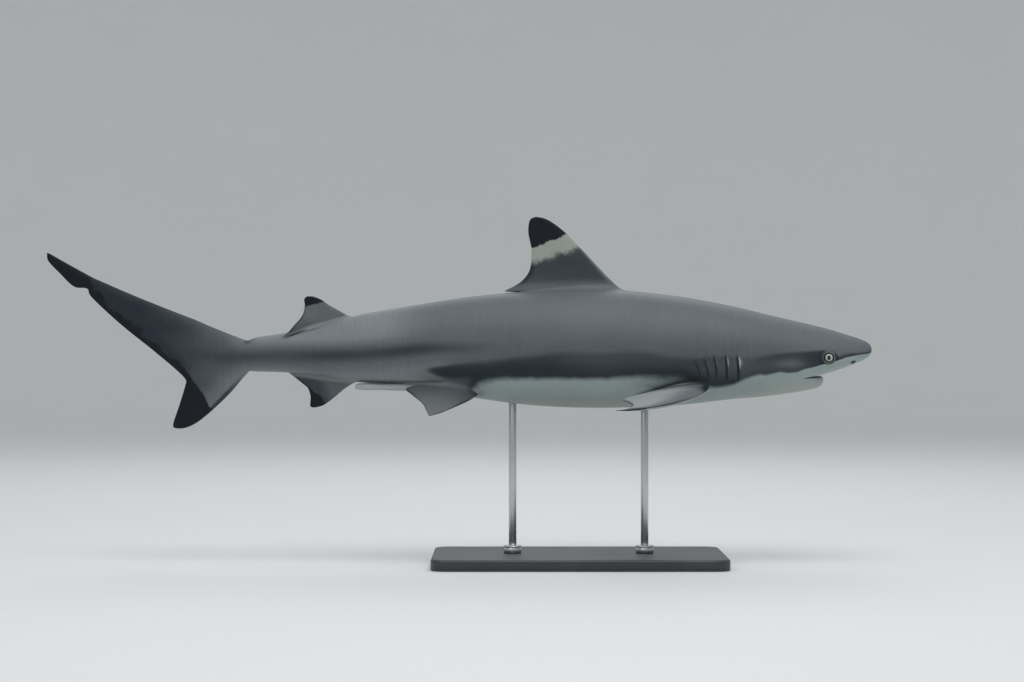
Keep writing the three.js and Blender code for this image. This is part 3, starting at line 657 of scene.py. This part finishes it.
def fin_shell(fin):
    """A fin with a fillet where it meets the body. Each of its lines from root to
    tip is followed to where it stands the fillet's radius R over the body; from
    there down it is h = R(1 - sin t) over the body, R(1 - cos t) further out."""
    steps = np.linspace(0, 1, FIN_STEPS)

    def surface(step):
        return fin_point(fin, (len(fin.ribs) - 1) * (1 - (1 - step) ** 1.2), circle(FIN_COLUMNS))

    line, chord, *_ = surface(steps[:, None])
    height = np.maximum.accumulate(height_over_body(line), axis=0)
    radius = mix(fin.fillet, REAR_FILLET, ramp(0, 1, chord[0]))

    def step_at(level):
        hit = np.clip((height >= level).argmax(axis=0), 1, None)
        low, high = (np.take_along_axis(height, n[None, :], axis=0)[0] for n in (hit - 1, hit))
        return steps[hit - 1] + np.clip((level - low) / np.maximum(high - low, 1e-9), 0, 1) * steps[1]

    bend = np.linspace(np.pi / 2, 0, FILLET_ROWS + 1)[:-1, None]
    away = np.concatenate([[radius + out for out in SUNK_OUT], radius * (1 - np.cos(bend))])
    level = np.concatenate([[0 * radius + low for low in SUNK], radius * (1 - np.sin(bend)) + 0.008])
    root, start = len(level), step_at(radius)
    free = start + (1 - start) * np.linspace(0, 1, FIN_ROWS)[:, None]
    found = np.concatenate([[step_at(np.maximum(row, 0)) for row in level], free])
    points, *where = surface(found)
    spoke = stacked(0, points[..., 1], points[..., 2] - body_measure(points)[2])
    outwards = outward(np.cross(round_ring(points), unit(spoke)), points)
    points[:root] = laid_on_body(points[:root] + outwards[:root] * away[..., None], level)
    own = (middle_marks if hasattr(fin, "up") else paired_marks)(fin, points, *where)
    body, near = skin_marks_near(points), ramp(fin.blend, 0.1, height_over_body(points))
    return shell(in_metres(points), {name: mix(own[name], body[name], near) for name in own})


def middle_marks(fin, points, chord, span, *_):
    """Marks of a fin on the middle line, with a dark rear edge and a pale front one."""
    at, _, height = axes_of(points)
    rear = 0.45 * ramp(0.9, 1, chord)
    if fin.rear_line:
        rear = rear + 0.6 * ramp(-0.9, 1.1, side_of(at, height, *fin.rear_line))
    return all_marks(
        at.shape, shade=np.clip(fin.shade * ramp(0, 0.08, chord) + rear, 0, 1),
        black=np.minimum(side_of(at, height, *fin.tip_line), span - 1.5),
        band=np.minimum(side_of(at, height, *fin.band_line), 3) if fin.band_line else MARKS["band"],
        pale=0.6 * ramp(0.04, 0, chord), warm=fin.warm,
    )


def paired_marks(fin, points, chord, span, thick, reach):
    """Marks of a paired fin: grey above and white below, a dark rear edge and
    outer front edge and a dark tip, black on the underside, a painted highlight over
    its upper side that fades towards its front edge and tip, and painted shade at its root's front."""
    upper = ramp(-0.02, 0.02, thick)
    edge = ramp(0.06, 0, chord) * ramp(0.25, 0.6, reach) + ramp(0.94, 1, chord) * ramp(0.15, 0.35, reach)
    # root: painted shade at the root's front, joining the painted shadow over the fin's root
    root = fin.pale * ramp(0.14, 0, chord) * ramp(0.16, 0, reach)
    lower = min(fin.pale, 1) * ramp(0.5, 0.05, chord)
    end = fin.pale * ramp(0.7, 1, reach)
    shade = fin.shade * ramp(0.95, 0.05, reach) + 0.6 * edge + 0.25 * lower + root + 0.35 * end
    light = 1 - np.clip(edge + 0.58 * lower + root + 0.6 * end, 0, 1)
    return all_marks(
        reach.shape, cover=mix(-6, 6, upper), shade=np.clip(shade, 0, 1),
        black=(reach - fin.tip_from) * 4 + 0.5 * edge - 1.2 * (upper > 0.5),
        # pale: a painted highlight of the light from above on the upper side
        pale=fin.pale * upper * ramp(0, fin.pale_from, reach) * light, warm=fin.warm,
    )


def clasper_shell():
    """A rod along the belly, its radius a smooth line, with a groove along its top,
    a slightly swollen end, and a tip rounded off like half a ball."""
    share, angle = np.sin(np.linspace(0, np.pi / 2, CLASPER_ROWS))[:, None], circle(CLASPER_COLUMNS)
    radius_line = smooth_line((0, 0.1, 0.5, 0.72, 0.82, 0.92, 1), (0.38, 0.47, 0.46, 0.4, 0.44, 0.4, 0.36))
    radius = radius_line(share) * np.sqrt(1 - np.clip((share - 0.955) / 0.045, 0, 0.999) ** 2.2)
    from_groove, grooved = np.mod(angle / (2 * np.pi) - 0.2, 1), ramp(0.15, 0.4, share)
    radius = radius * (1 - 0.3 * hump(from_groove, 0, 0.07) * grooved)
    points = stacked(
        mix(CLASPER_FROM, CLASPER_TO, share), -(mix(1.35, 1.05, share) + radius * np.cos(angle)),
        smooth_line((0, 0.3, 1), (-3.75, -3.84, -3.8))(share) + radius * np.sin(angle))
    # inside is painted shade along the groove
    return shell(in_metres(points), all_marks(
        radius.shape, cover=-6, shade=0.1, inside=0.25 * hump(from_groove, 0, 0.04) * grooved, pale=0.75))


# ---- Eyelids and nostrils

LID_COLUMNS, NOSTRIL_COLUMNS = 72, 56
LID_PROFILE = np.array([  # distance from the eye's middle, height over the skin, mm
    (0, -9), (5.2, -7), (6.5, -3.6), (6.9, -2.5), (7.3, -1.2), (7.9, 0.05), (8.6, 0.7), (9.3, 0.6),
    (10.1, 0.02), (11, 0.22), (11.8, 0.3), (12.8, 0.12), (14.4, 0.07), (16.2, 0.04), (18, -0.3),
])


def patch_shell(centre, across, radii, spokes, relief, marks_of):
    """A round patch laid over the skin: rings about a centre on the body, a mm
    forwards and b mm across, each point set to the height that relief gives over
    the body's surface, mm. Two last rings sink under the skin and close it."""
    radii = np.append(radii, (radii[-1] + 0.3, radii[-1] - 2))[:, None]
    a, b = radii * np.cos(circle(spokes)), radii * np.sin(circle(spokes))

    def surface(a, b):
        flat = centre + MM * (a[..., None] * np.array([-1, 0, 0]) + b[..., None] * np.array(across))
        return laid_on_body(flat, 0)

    small, base = 0.02 / MM, surface(a, b)
    normal = unit(np.cross(surface(a + small, b) - base, surface(a, b + small) - base))
    normal *= 1 if (normal * centre)[..., 1:].sum() > 0 else -1
    height = relief(a, b)
    height[-2:] = [[-0.8], [-6]]
    points = base + normal * (height * MM)[..., None]
    return shell(in_metres(points), marks_of(a, b, points))


def lid_relief(a, b):
    """The lids' ring: LID_PROFILE over the distance from the eye, closed a little
    further from below, where the third eyelid lies."""
    distance = np.hypot(a / 1.04, b)
    closing = 1 + 0.06 * ramp(0.1, 1, -b / np.maximum(distance, 0.1)) * ramp(11, 8, distance)
    return smooth_line(*LID_PROFILE.T)(distance * closing)


def lid_marks(a, b, points):
    """A dark field round the eye, fainter above it, the lid's thin pale edge,
    brightest low in front, and a paler fold high behind."""
    marks = skin_marks_near(points)
    distance, turn = np.hypot(a / 1.04, b), np.arctan2(b, a)
    ring = hump(distance, 8.9, 0.5) * (0.5 + 0.5 * ramp(-0.4, 0.6, np.cos(turn + 1.2)))
    fold = 0.6 * hump(distance, 11.7, 0.5) * ramp(0.2, 0.9, np.cos(turn - 2.5))
    around = ramp(16.5, 12, distance) * mix(0.9, 0.25, ramp(0.1, 0.9, np.cos(turn - 1.5)))
    around = around * mix(0.5, 1, ramp(9.3, 12, distance))
    # painted shade in the hollow between the lid and the eyeball
    marks["inside"] = 0.5 * ramp(8, 7.5, distance)
    marks["pale"] = 1.1 * ring + fold
    marks["shade"] = np.clip(marks["shade"] * (1 - 0.5 * ramp(11.5, 9.5, distance)) + around, 0, 1)
    marks["shade"] *= 1 - ring
    marks["cover"] = mix(marks["cover"], MARKS["cover"], ramp(11.2, 10, distance))
    return marks


def slanting(a, b):
    """Places along the nostril's slit and across it."""
    return a * 0.9 + b * 0.44, -a * 0.44 + b * 0.9


def nostril_relief(a, b):
    """A slanting pit with a low rim and a small flap on its inner edge."""
    along, across = slanting(a, b)
    distance = np.hypot(a, b)
    pit = -4.2 * np.exp(-(along / 4.1) ** 4 - ((across - 1.5) / 2.9) ** 4)
    rim = 0.3 * hump(np.hypot(along / 1.3, across - 1.5), 4.3, 0.8)
    flap = 1.7 * hump(along, -1.1, 1.9) * hump(across, -2.7, 0.9)
    return (pit + rim + flap) * ramp(7.6, 5.5, distance) + 0.03 - 0.3 * ramp(7, 8.5, distance)


def nostril_marks(a, b, points):
    """Painted shade inside the pit, and pale on its flap."""
    marks = skin_marks_near(points)
    along, across = slanting(a, b)
    flap = np.exp(-((along + 1.1) / 2.3) ** 4 - ((across + 3.2) / 1) ** 2)
    # painted shade inside the pit
    marks["inside"] = np.exp(-(along / 4.2) ** 6 - ((across - 1) / 3.7) ** 6) * (1 - flap)
    marks["pale"] = 2 * flap
    return marks


def lid_shell():
    centre = np.array([EYE_AT, -half_line(math.sqrt(EYE_AT)), EYE_LEVEL])
    radii = np.append(np.linspace(0.5, 6.5, 5), np.linspace(7.1, 18, 42))
    return patch_shell(centre, (0, 0, 1), radii, LID_COLUMNS, lid_relief, lid_marks)


def nostril_shell():
    across = unit(np.array([0, -0.92, 0.38]))
    radii = np.linspace(0.25, 8.5, 30)
    return patch_shell(NOSTRIL, across, radii, NOSTRIL_COLUMNS, nostril_relief, nostril_marks)


# ---- Materials


class Graph:
    """Adds nodes to a node tree, each fed by wires, numbers and colours."""

    def __init__(self, tree):
        self.tree = tree

    def add(self, kind, inputs=(), output=0, **settings):
        """A node with its settings and its inputs, in order or by name."""
        node = self.tree.nodes.new(kind)
        for name, value in settings.items():
            setattr(node, name, value)
        for name, value in inputs.items() if isinstance(inputs, dict) else enumerate(inputs):
            socket = node.inputs[name]
            if isinstance(value, Wire):
                self.tree.links.new(value.socket, socket)
            elif value is not None:
                socket.default_value = (*value, 1) if socket.type == "RGBA" else value
        return Wire(self, node.outputs[output]) if node.outputs else None

    def mark(self, name):
        return self.add("ShaderNodeAttribute", (), "Fac", attribute_name=name)

    def place(self):
        return self.add("ShaderNodeTexCoord", (), "Object")

    def group(self, name, *inputs):
        return self.add("ShaderNodeGroup", inputs, node_tree=bpy.data.node_groups[name])


def math_node(operation):
    return lambda *values: values[0].graph.add("ShaderNodeMath", values, operation=operation)


class Wire:
    """A node's output and the nodes that it feeds. A sign between it and a wire or
    a number adds a Math node, and a name in brackets gives its node's other output."""

    def __init__(self, graph, socket):
        self.graph, self.socket = graph, socket

    def __getitem__(self, name):
        return Wire(self.graph, self.socket.node.outputs[name])

    __add__, __sub__, __mul__, __truediv__, __pow__, __abs__, angle_from = map(
        math_node, ("ADD", "SUBTRACT", "MULTIPLY", "DIVIDE", "POWER", "ABSOLUTE", "ARCTAN2"))

    def blend(self, a, b, mode="MIX"):
        """From one colour to another by this share."""
        inputs = self, *[None] * 5, a, b
        return self.graph.add("ShaderNodeMix", inputs, 2, data_type="RGBA", blend_type=mode)

    def tint(self, colour):
        inputs = 1, *[None] * 5, self, colour
        return self.graph.add("ShaderNodeMix", inputs, 2, data_type="RGBA", blend_type="MULTIPLY")

    def step(self, low, high, to_low=0, to_high=1):
        """Smoothly from one value to another between two limits."""
        inputs = self, low, high, to_low, to_high
        return self.graph.add("ShaderNodeMapRange", inputs, interpolation_type="SMOOTHSTEP")

    def noise(self, scale, detail=4, roughness=0.55):
        return self.graph.add("ShaderNodeTexNoise", (self, None, scale, detail, roughness))

    def scaled(self, *scale):
        return self.graph.add("ShaderNodeMapping", {"Vector": self, "Scale": scale})

    def beside(self, other):
        return self.graph.add("ShaderNodeCombineXYZ", (self, other))


def new_group(formula, **inputs):
    """A shader node group with a formula's inputs, each with its default or None
    for a place, and the outputs that the formula returns by name."""
    tree = bpy.data.node_groups.new(formula.__name__, "ShaderNodeTree")
    for name, value in inputs.items():
        kind = "NodeSocketVector" if value is None else "NodeSocketFloat"
        socket = tree.interface.new_socket(name, in_out="INPUT", socket_type=kind)
        if value is not None:
            socket.default_value = value
    graph = Graph(tree)
    enter = graph.add("NodeGroupInput")
    outputs = formula(graph, *(enter[name] for name in inputs))
    for name in outputs:
        tree.interface.new_socket(name, in_out="OUTPUT", socket_type="NodeSocketFloat")
    graph.add("NodeGroupOutput", outputs)


def finish_unevenness(graph, place, broad, fine, depth, roughness, change):
    """Broad and fine unevenness of a finish: a tone around 1 for its colour, a
    roughness, and a height for its bump."""
    fine = place.noise(fine, 2)
    uneven = place.noise(broad, 5) + fine * 0.5 - 0.75
    return {"Tone": uneven * depth + 1, "Roughness": uneven * change + roughness, "Height": fine}


def ragged_edge(graph, distance, place, raggedness, scale, blur):
    """A marking's mask from a distance to its edge, with the edge made ragged."""
    moved = distance + (place.noise(scale, 5, 0.6) - 0.5) * raggedness
    return {"Mask": (moved / blur + 0.5).step(0, 1)}


def denticles(graph, place, scale, ripple):
    """Height of the skin's fine scales, with faint upright ripples on the flanks."""
    cells = graph.add("ShaderNodeTexVoronoi", (place, None, scale))
    ripples = (place.scaled(1, 0.12, 0.12).noise(190, 2) - 0.5) * place.noise(9, 2).step(0.38, 0.6) * ripple
    grain = place.noise(700, 3, 0.7)
    return {"Height": cells * -0.35 + 0.35 + grain * 0.5 + ripples, "Grain": grain, "Ripple": ripples}


def new_groups():
    new_group(finish_unevenness, Place=None, Broad=6, Fine=400, Depth=0.1, Roughness=0.45, Change=0.08)
    new_group(ragged_edge, Distance=0, Place=None, Raggedness=0.5, Scale=60, Blur=0.1)
    new_group(denticles, Place=None, Scale=1400, Ripple=0.4)


def new_material(finish, looks=None):
    """A material named for its finish: a function that returns what feeds the
    shader and, for a bump, its height, strength and depth in metres."""
    material = bpy.data.materials.new(finish.__name__)
    material.use_nodes = True
    material.node_tree.nodes.clear()
    graph = Graph(material.node_tree)
    inputs, *bump = finish(graph, looks)
    if bump:
        inputs["Normal"] = graph.add("ShaderNodeBump", dict(zip(("Height", "Strength", "Distance"), bump)))
    graph.add("ShaderNodeOutputMaterial", [graph.add("ShaderNodeBsdfPrincipled", inputs)])
    return material


def toned(graph, colour, *uneven):
    """A colour and roughness with a finish's unevenness, and a height for its bump."""
    group = graph.group("finish_unevenness", *uneven)
    return group["Tone"].tint(colour), group["Roughness"], group["Height"]


def skin(graph, looks):
    """Brown-grey above and white below, with the marks' dark streak and band, painted
    shade and shadows, painted highlights and black tips, in a satin skin of fine scales."""
    place = graph.place()
    cover, black, band = (graph.group("ragged_edge", graph.mark(mark), place, *sizes) for mark, *sizes in (
        ("cover", 1.3, 45, 2), ("black", 1.5, 38, 0.22), ("band", 2.2, 55, 0.8)))
    clouds = place.scaled(0.25, 1, 1).noise(26, 5) - 0.5
    shade = (graph.mark("shade") + clouds * 0.42).step(-0.05, 1.05)
    warm = graph.mark("warm")
    upper = warm.blend(shade.blend(looks.back, looks.streaks), looks.fin_tint, "MULTIPLY")
    lowest = (graph.mark("cover") + place.noise(7, 3) * 4).step(-1.5, -8.5)
    colour = cover.blend(lowest.blend(looks.belly, looks.belly_tint), upper)
    # pale is partly painted highlight, inside is painted shade and shadow
    for share, paint in (((graph.mark("pale") * 0.55).step(0, 1), looks.edges), (band, looks.band),
                         (black, looks.tips), (graph.mark("inside"), looks.mouth)):
        colour = share.blend(colour, paint)
    scales = graph.group("denticles", place)
    ripples = scales["Ripple"] * cover * warm.step(0, 0.1, 0.7, 0)
    colour = (scales["Grain"] * 0.2 + ripples + 0.9).tint(colour)
    colour, roughness, _ = toned(graph, colour, place, 11, 260, 0.3, 0.5, 0.14)
    inputs = {"Base Color": colour, "Roughness": roughness, "Specular IOR Level": 0.22}
    return inputs, scales["Height"], 0.32, 0.0004


def eye(graph, looks):
    """A pale iris with fine radial fibres, an upright diamond pupil and a dark
    edge, under a clear glossy coat. across and upright are mm from its middle."""
    across, upright = graph.mark("across"), graph.mark("upright")
    radius = (across * across + upright * upright) ** 0.5
    fibres = (upright.angle_from(across) * 5).beside(radius * 0.25).noise(3, 5, 0.65)
    specks = across.beside(upright).noise(1.7, 3)
    iris = fibres.step(0.35, 0.7).blend(looks.iris, looks.iris_dark)
    iris = radius.step(1.6, 5.2).blend(looks.iris_bright, iris)
    iris = specks.step(0.62, 0.75, 0, 0.5).blend(iris, looks.iris_dark)
    lens = abs(across / 2.7) ** 1.5 + abs(upright / 4.1) ** 1.5
    colour = radius.step(5.5, 6.3).blend(iris, looks.tips)
    colour = (lens.step(1.6, 1.1) * 0.35).blend(colour, looks.iris_dark)
    colour = lens.step(1.1, 0.96).blend(colour, (0.004, 0.005, 0.006))
    inputs = {"Base Color": colour, "Roughness": specks.step(0.2, 0.8, 0.22, 0.34),
              "Specular IOR Level": 0.2, "Coat Weight": 0.3, "Coat Roughness": 0.04}
    return inputs, fibres, 0.12, 0.0002


def base_paint(graph, looks):
    """Satin paint with a fine orange-peel texture and a little dust on top."""
    place = graph.place()
    colour, roughness, height = toned(graph, looks.paint, place, 7, 520, 0.25, 0.42, 0.14)
    colour = place.noise(33, 6, 0.65).step(0.5, 0.8, 0, 0.06).blend(colour, (0.4, 0.39, 0.37))
    return {"Base Color": colour, "Roughness": roughness}, height, 0.18, 0.0003


def brushed_steel(graph, looks):
    """Steel brushed round the rods, so that the lines lie level."""
    place = graph.place()
    lines = place.scaled(0.04, 0.04, 1).noise(2600, 3, 0.7)
    colour, roughness, _ = toned(graph, looks.steel, place, 30, 300, 0.1, 0.3, 0.12)
    colour = lines.step(0.3, 0.7, 0, 0.18).blend(colour, (0.3, 0.3, 0.31))
    return {"Base Color": colour, "Roughness": roughness, "Metallic": 1}, lines, 0.15, 0.0001


def pale_floor(graph, _):
    """A pale matt floor with barely visible unevenness."""
    colour, roughness, _ = toned(graph, (0.72, 0.73, 0.73), graph.place(), 1.5, 60, 0.03, 0.75, 0.08)
    return [{"Base Color": colour, "Roughness": roughness}]


# ---- Sizes and colours


def colour(name, description, default):
    return FloatVectorProperty(
        name=name, description=description, subtype="COLOR", default=default, min=0, max=1)


def length(name, description, default, low, high):
    return FloatProperty(
        name=name, description=description, default=default, min=low, max=high, unit="LENGTH")


class SharkLooks(bpy.types.PropertyGroup):
    """Colours of the skin and the eyes, and the cornea's size."""

    back: colour("Back", "Brown-grey of the back and flanks", (0.118, 0.134, 0.147))
    # The flank's own dark streak and band, also the dark of painted shade
    streaks: colour("Streaks", "Dark bands along the flanks", (0.015, 0.023, 0.032))
    fin_tint: colour("Fin tint", "Brown tint of the fins", (0.98, 0.90, 0.80))
    belly: colour("Belly", "White of the underside", (0.305, 0.358, 0.358))
    belly_tint: colour("Belly tint", "Warm white lowest on the underside", (0.35, 0.365, 0.315))
    # Pale skin, and painted highlights on the gill flaps and the paired fins' upper sides
    edges: colour("Pale edges", "Rims of the gill slits and eyelids", (0.42, 0.46, 0.45))
    band: colour("Fin band", "Pale band under the first dorsal fin's tip", (0.295, 0.315, 0.285))
    tips: colour("Fin tips", "Black of the fins' tips", (0.004, 0.007, 0.012))
    # Painted shade and shadow: mouth's slot, nostrils, eyelid hollows, clasper groove, fin roots
    mouth: colour("Mouth", "Dark inside of the mouth and nostrils", (0.016, 0.016, 0.018))
    iris: colour("Iris", "Grey-green of the iris", (0.47, 0.55, 0.46))
    iris_bright: colour("Inner iris", "Brighter ring round the pupil", (0.68, 0.77, 0.70))
    iris_dark: colour("Iris lines", "Darker fibres of the iris", (0.24, 0.27, 0.18))
    bulge: length("Bulge", "How far the cornea stands out of the eyeball", 0.0004, 0, 0.002)


class StandSizes(bpy.types.PropertyGroup):
    """Finish of the display stand."""

    round_edge: length("Edge radius", "Rounding of the base's upper edge", 0.004, 0.001, 0.008)
    paint: colour("Base", "Paint of the base", (0.035, 0.036, 0.039))
    steel: colour("Steel", "Colour of the rods", (0.60, 0.60, 0.61))


class StageSizes(bpy.types.PropertyGroup):
    """Camera and light."""

    distance: length("Camera distance", "From the shark's middle plane", 3.811, 1, 10)
    lens: FloatProperty(name="Lens", description="Focal length in mm", default=85, min=20, max=200)
    light: FloatProperty(name="Light", description="Strength of all the lamps", default=1, min=0, max=5)


# ---- Operators


class SHARK_OT_skin(bpy.types.Operator):
    """Make the skin: trunk and tail, fins, claspers, eyelids and nostrils"""

    bl_idname = "shark.skin"
    bl_label = "Skin"

    def execute(self, context):
        paired = [fin_shell(PECTORAL), fin_shell(PELVIC), clasper_shell(), lid_shell(), nostril_shell()]
        middle = [trunk_shell(), *map(fin_shell, (FIRST_DORSAL, SECOND_DORSAL, ANAL))]
        shells = [*middle, *paired, *map(mirrored, paired)]
        new_piece("shark_skin", shells, new_material(skin, context.scene.shark_looks), "skin", *FLESH_NODES)
        return {"FINISHED"}


EYE_ROWS, EYE_COLUMNS = 60, 72


def eye_shell(side, bulge):
    """A ball in rings about the eye's axis, with a low rise for the cornea. across
    and upright give the place on its face, mm, three times as far on its back."""
    low, high = box_of(f"eye_{side}")
    polar, turn = np.linspace(0.02, np.pi - 0.02, EYE_ROWS)[:, None], circle(EYE_COLUMNS)
    size = (high[2] - low[2]) / 2 + bulge * hump(polar, 0, 0.5)
    out = size * np.cos(polar) * (-1 if side == "right" else 1)
    a, b = size * np.sin(polar) * np.cos(turn), size * np.sin(polar) * np.sin(turn)
    to_mm = 1000 * np.where(polar < np.pi / 2, 1, 3)
    return shell((low + high) / 2 + stacked(a, out, b), {"across": a * to_mm, "upright": b * to_mm})


class SHARK_OT_eyes(bpy.types.Operator):
    """Make both eyes"""

    bl_idname = "shark.eyes"
    bl_label = "Eyes"

    def execute(self, context):
        looks = context.scene.shark_looks
        material = new_material(eye, looks)
        for side in SIDES:
            new_piece(f"eyeball_{side}", [eye_shell(side, looks.bulge)], material, "eye", f"eye_{side}")
        return {"FINISHED"}


def slab_shell(low, high, corner, bevel, foot):
    """A slab with round corners: rings of one rounded rectangle, drawn in by the
    lower edge's chamfer, the upper edge's quarter circle, and on the top."""
    middle, half, tall = (low + high) / 2, (high - low) / 2, high[2] - low[2]
    bend = np.linspace(0, np.pi / 2, 9)
    inset = np.concatenate([
        [corner * 0.9, foot, 0], bevel * (1 - np.cos(bend)), [bevel * 1.6, corner * 0.95]])
    height = np.concatenate([[0, 0, foot], tall - bevel + bevel * np.sin(bend), [tall, tall]])
    angle = np.concatenate([np.linspace(0, np.pi / 2, 14) + k * np.pi / 2 for k in range(4)])
    side_x, side_y = (np.repeat(signs, 14) for signs in ((1, -1, -1, 1), (1, 1, -1, -1)))
    radius = corner - inset[:, None]
    return shell(stacked(
        middle[0] + side_x * (half[0] - corner) + radius * np.cos(angle),
        middle[1] + side_y * (half[1] - corner) + radius * np.sin(angle), low[2] + height[:, None]))


def turned(profile, around, x=0):
    """A profile of radius and height turned about an upright axis."""
    radius, height = np.array(profile).T[..., None]
    return stacked(x + radius * np.cos(circle(around)), radius * np.sin(circle(around)), height)


BASE_CORNER, BASE_FOOT = 0.022, 0.0015
ROD_END, ROD_SIDES = 0.001, 48
COLLAR_EDGE = 0.0008  # chamfer
GROOVE = ((0.004, 0), (0.0034, 0.0005), (0.0028, 0.0005), (0.0022, 0))  # below the collar's top, depth


class SHARK_OT_stand(bpy.types.Operator):
    """Make the display stand: base, rods and collars"""

    bl_idname = "shark.stand"
    bl_label = "Stand"

    def execute(self, context):
        sizes = context.scene.shark_stand
        slab = slab_shell(*box_of("stand_base"), BASE_CORNER, sizes.round_edge, BASE_FOOT)
        new_piece("base_plate", [slab], new_material(base_paint, sizes), "base", "stand_base")
        steel = new_material(brushed_steel, sizes)
        for name in ("front", "rear"):
            (left, _, foot), (right, _, top) = box_of(f"stand_rod_{name}")
            x, radius = (left + right) / 2, (right - left) / 2
            rod = [(radius * 0.9, foot), (radius, foot + ROD_END),
                   (radius, top), (radius * 0.9, top + 1.5 * ROD_END)]
            (left, _, foot), (right, _, top) = box_of(f"stand_collar_{name}")
            wide, bore, edge = (right - left) / 2, radius + 0.0001, COLLAR_EDGE
            collar = [(bore, foot + edge), (bore + edge, foot), (wide - edge, foot), (wide, foot + edge),
                      *((wide - deep, top - down) for down, deep in GROOVE),
                      (wide, top - edge), (wide - edge, top), (bore + edge, top), (bore, top - edge)]
            for part, profile in (("rod", rod), ("collar", collar)):
                around = shell(turned(profile, ROD_SIDES, x))
                new_piece(f"{part}_{name}", [around], steel, "rod", f"stand_{part}_{name}")
        return {"FINISHED"}


LAMPS = (  # name, place, what it points at, width, watts
    ("key", (0.5, -1.7, 3.3), (0, 0, 0.33), 2.4, 55),
    ("fill", (-1.5, -3.4, 2.1), (0, 0, 0.3), 1.8, 8),
    ("rim", (0.2, 2.6, 2.8), (0, 0, 0.4), 2.4, 25),
)
SKY, SKY_STRENGTH = (0.86, 0.89, 0.91, 1), 0.75
CAMERA_X, CAMERA_Z = 0.0835, 0.3521
FLOOR_RADIUS, WALL_RADIUS, WALL_TOP = 6, 9, 7
FLOOR_SIDES = 96


def put(data, place, up=0, turn=0):
    """A lamp or camera in its place: level and facing +Y, then tilted up and turned."""
    made = bpy.data.objects.new(data.name, data)
    made.location = place
    made.rotation_euler = (math.pi / 2 + up, 0, turn)
    bpy.context.scene.collection.objects.link(made)
    return made


class SHARK_OT_stage(bpy.types.Operator):
    """Make the floor, the lamps and the camera"""

    bl_idname = "shark.stage"
    bl_label = "Stage"

    def execute(self, context):
        scene, sizes = context.scene, context.scene.shark_stage
        rise, bend = WALL_RADIUS - FLOOR_RADIUS, np.linspace(0, np.pi / 2, 13)
        curve = np.stack([FLOOR_RADIUS + rise * np.sin(bend), rise * (1 - np.cos(bend))], -1)
        points = turned([(0.5, 0), (2, 0), (4, 0), *curve, (WALL_RADIUS, WALL_TOP)], FLOOR_SIDES)
        faces = ring_faces(len(points), FLOOR_SIDES)[:, ::-1].tolist() + [list(range(FLOOR_SIDES))]
        new_object("floor", points.reshape(-1, 3), faces, new_material(pale_floor))

        scene.world = bpy.data.worlds.new("studio")
        scene.world.use_nodes = True
        sky = scene.world.node_tree.nodes["Background"].inputs
        sky[0].default_value, sky[1].default_value = SKY, SKY_STRENGTH * sizes.light
        for name, place, target, width, watts in LAMPS:
            lamp = bpy.data.lights.new(name, "AREA")
            lamp.shape, lamp.size, lamp.energy = "DISK", width, watts * sizes.light
            x, y, z = np.subtract(target, place)
            put(lamp, place, math.atan2(z, math.hypot(x, y)), math.atan2(y, x) - math.pi / 2)
        scene.view_settings.view_transform = "Standard"

        camera = bpy.data.cameras.new("camera")
        camera.lens, camera.sensor_width = sizes.lens, 36
        scene.camera = put(camera, (CAMERA_X, -sizes.distance, CAMERA_Z))
        return {"FINISHED"}


class SHARK_PT_build(bpy.types.Panel):
    """Buttons and sizes of the shark"""

    bl_idname = "SHARK_PT_build"
    bl_label = "Blacktip reef shark"
    bl_space_type = "VIEW_3D"
    bl_region_type = "UI"
    bl_category = "Shark"

    def draw(self, context):
        for operator in OPERATORS:
            self.layout.operator(operator.bl_idname)
        for name, group in PROPERTY_GROUPS.items():
            box = self.layout.box()
            box.label(text=group.__doc__)
            for size in group.__annotations__:
                box.prop(getattr(context.scene, name), size)


OPERATORS = (SHARK_OT_skin, SHARK_OT_eyes, SHARK_OT_stand, SHARK_OT_stage)
PROPERTY_GROUPS = {"shark_looks": SharkLooks, "shark_stand": StandSizes, "shark_stage": StageSizes}
CLASSES = (*PROPERTY_GROUPS.values(), *OPERATORS, SHARK_PT_build)


def register():
    for kind in CLASSES:
        bpy.utils.register_class(kind)
    for name, group in PROPERTY_GROUPS.items():
        setattr(bpy.types.Scene, name, PointerProperty(type=group))


def unregister():
    for name in PROPERTY_GROUPS:
        delattr(bpy.types.Scene, name)
    for kind in reversed(CLASSES):
        bpy.utils.unregister_class(kind)


def main():
    """Makes the whole model."""
    register()
    new_groups()
    bpy.ops.shark.skin()
    bpy.ops.shark.eyes()
    bpy.ops.shark.stand()
    bpy.ops.shark.stage()


if __name__ == "__main__":
    main()
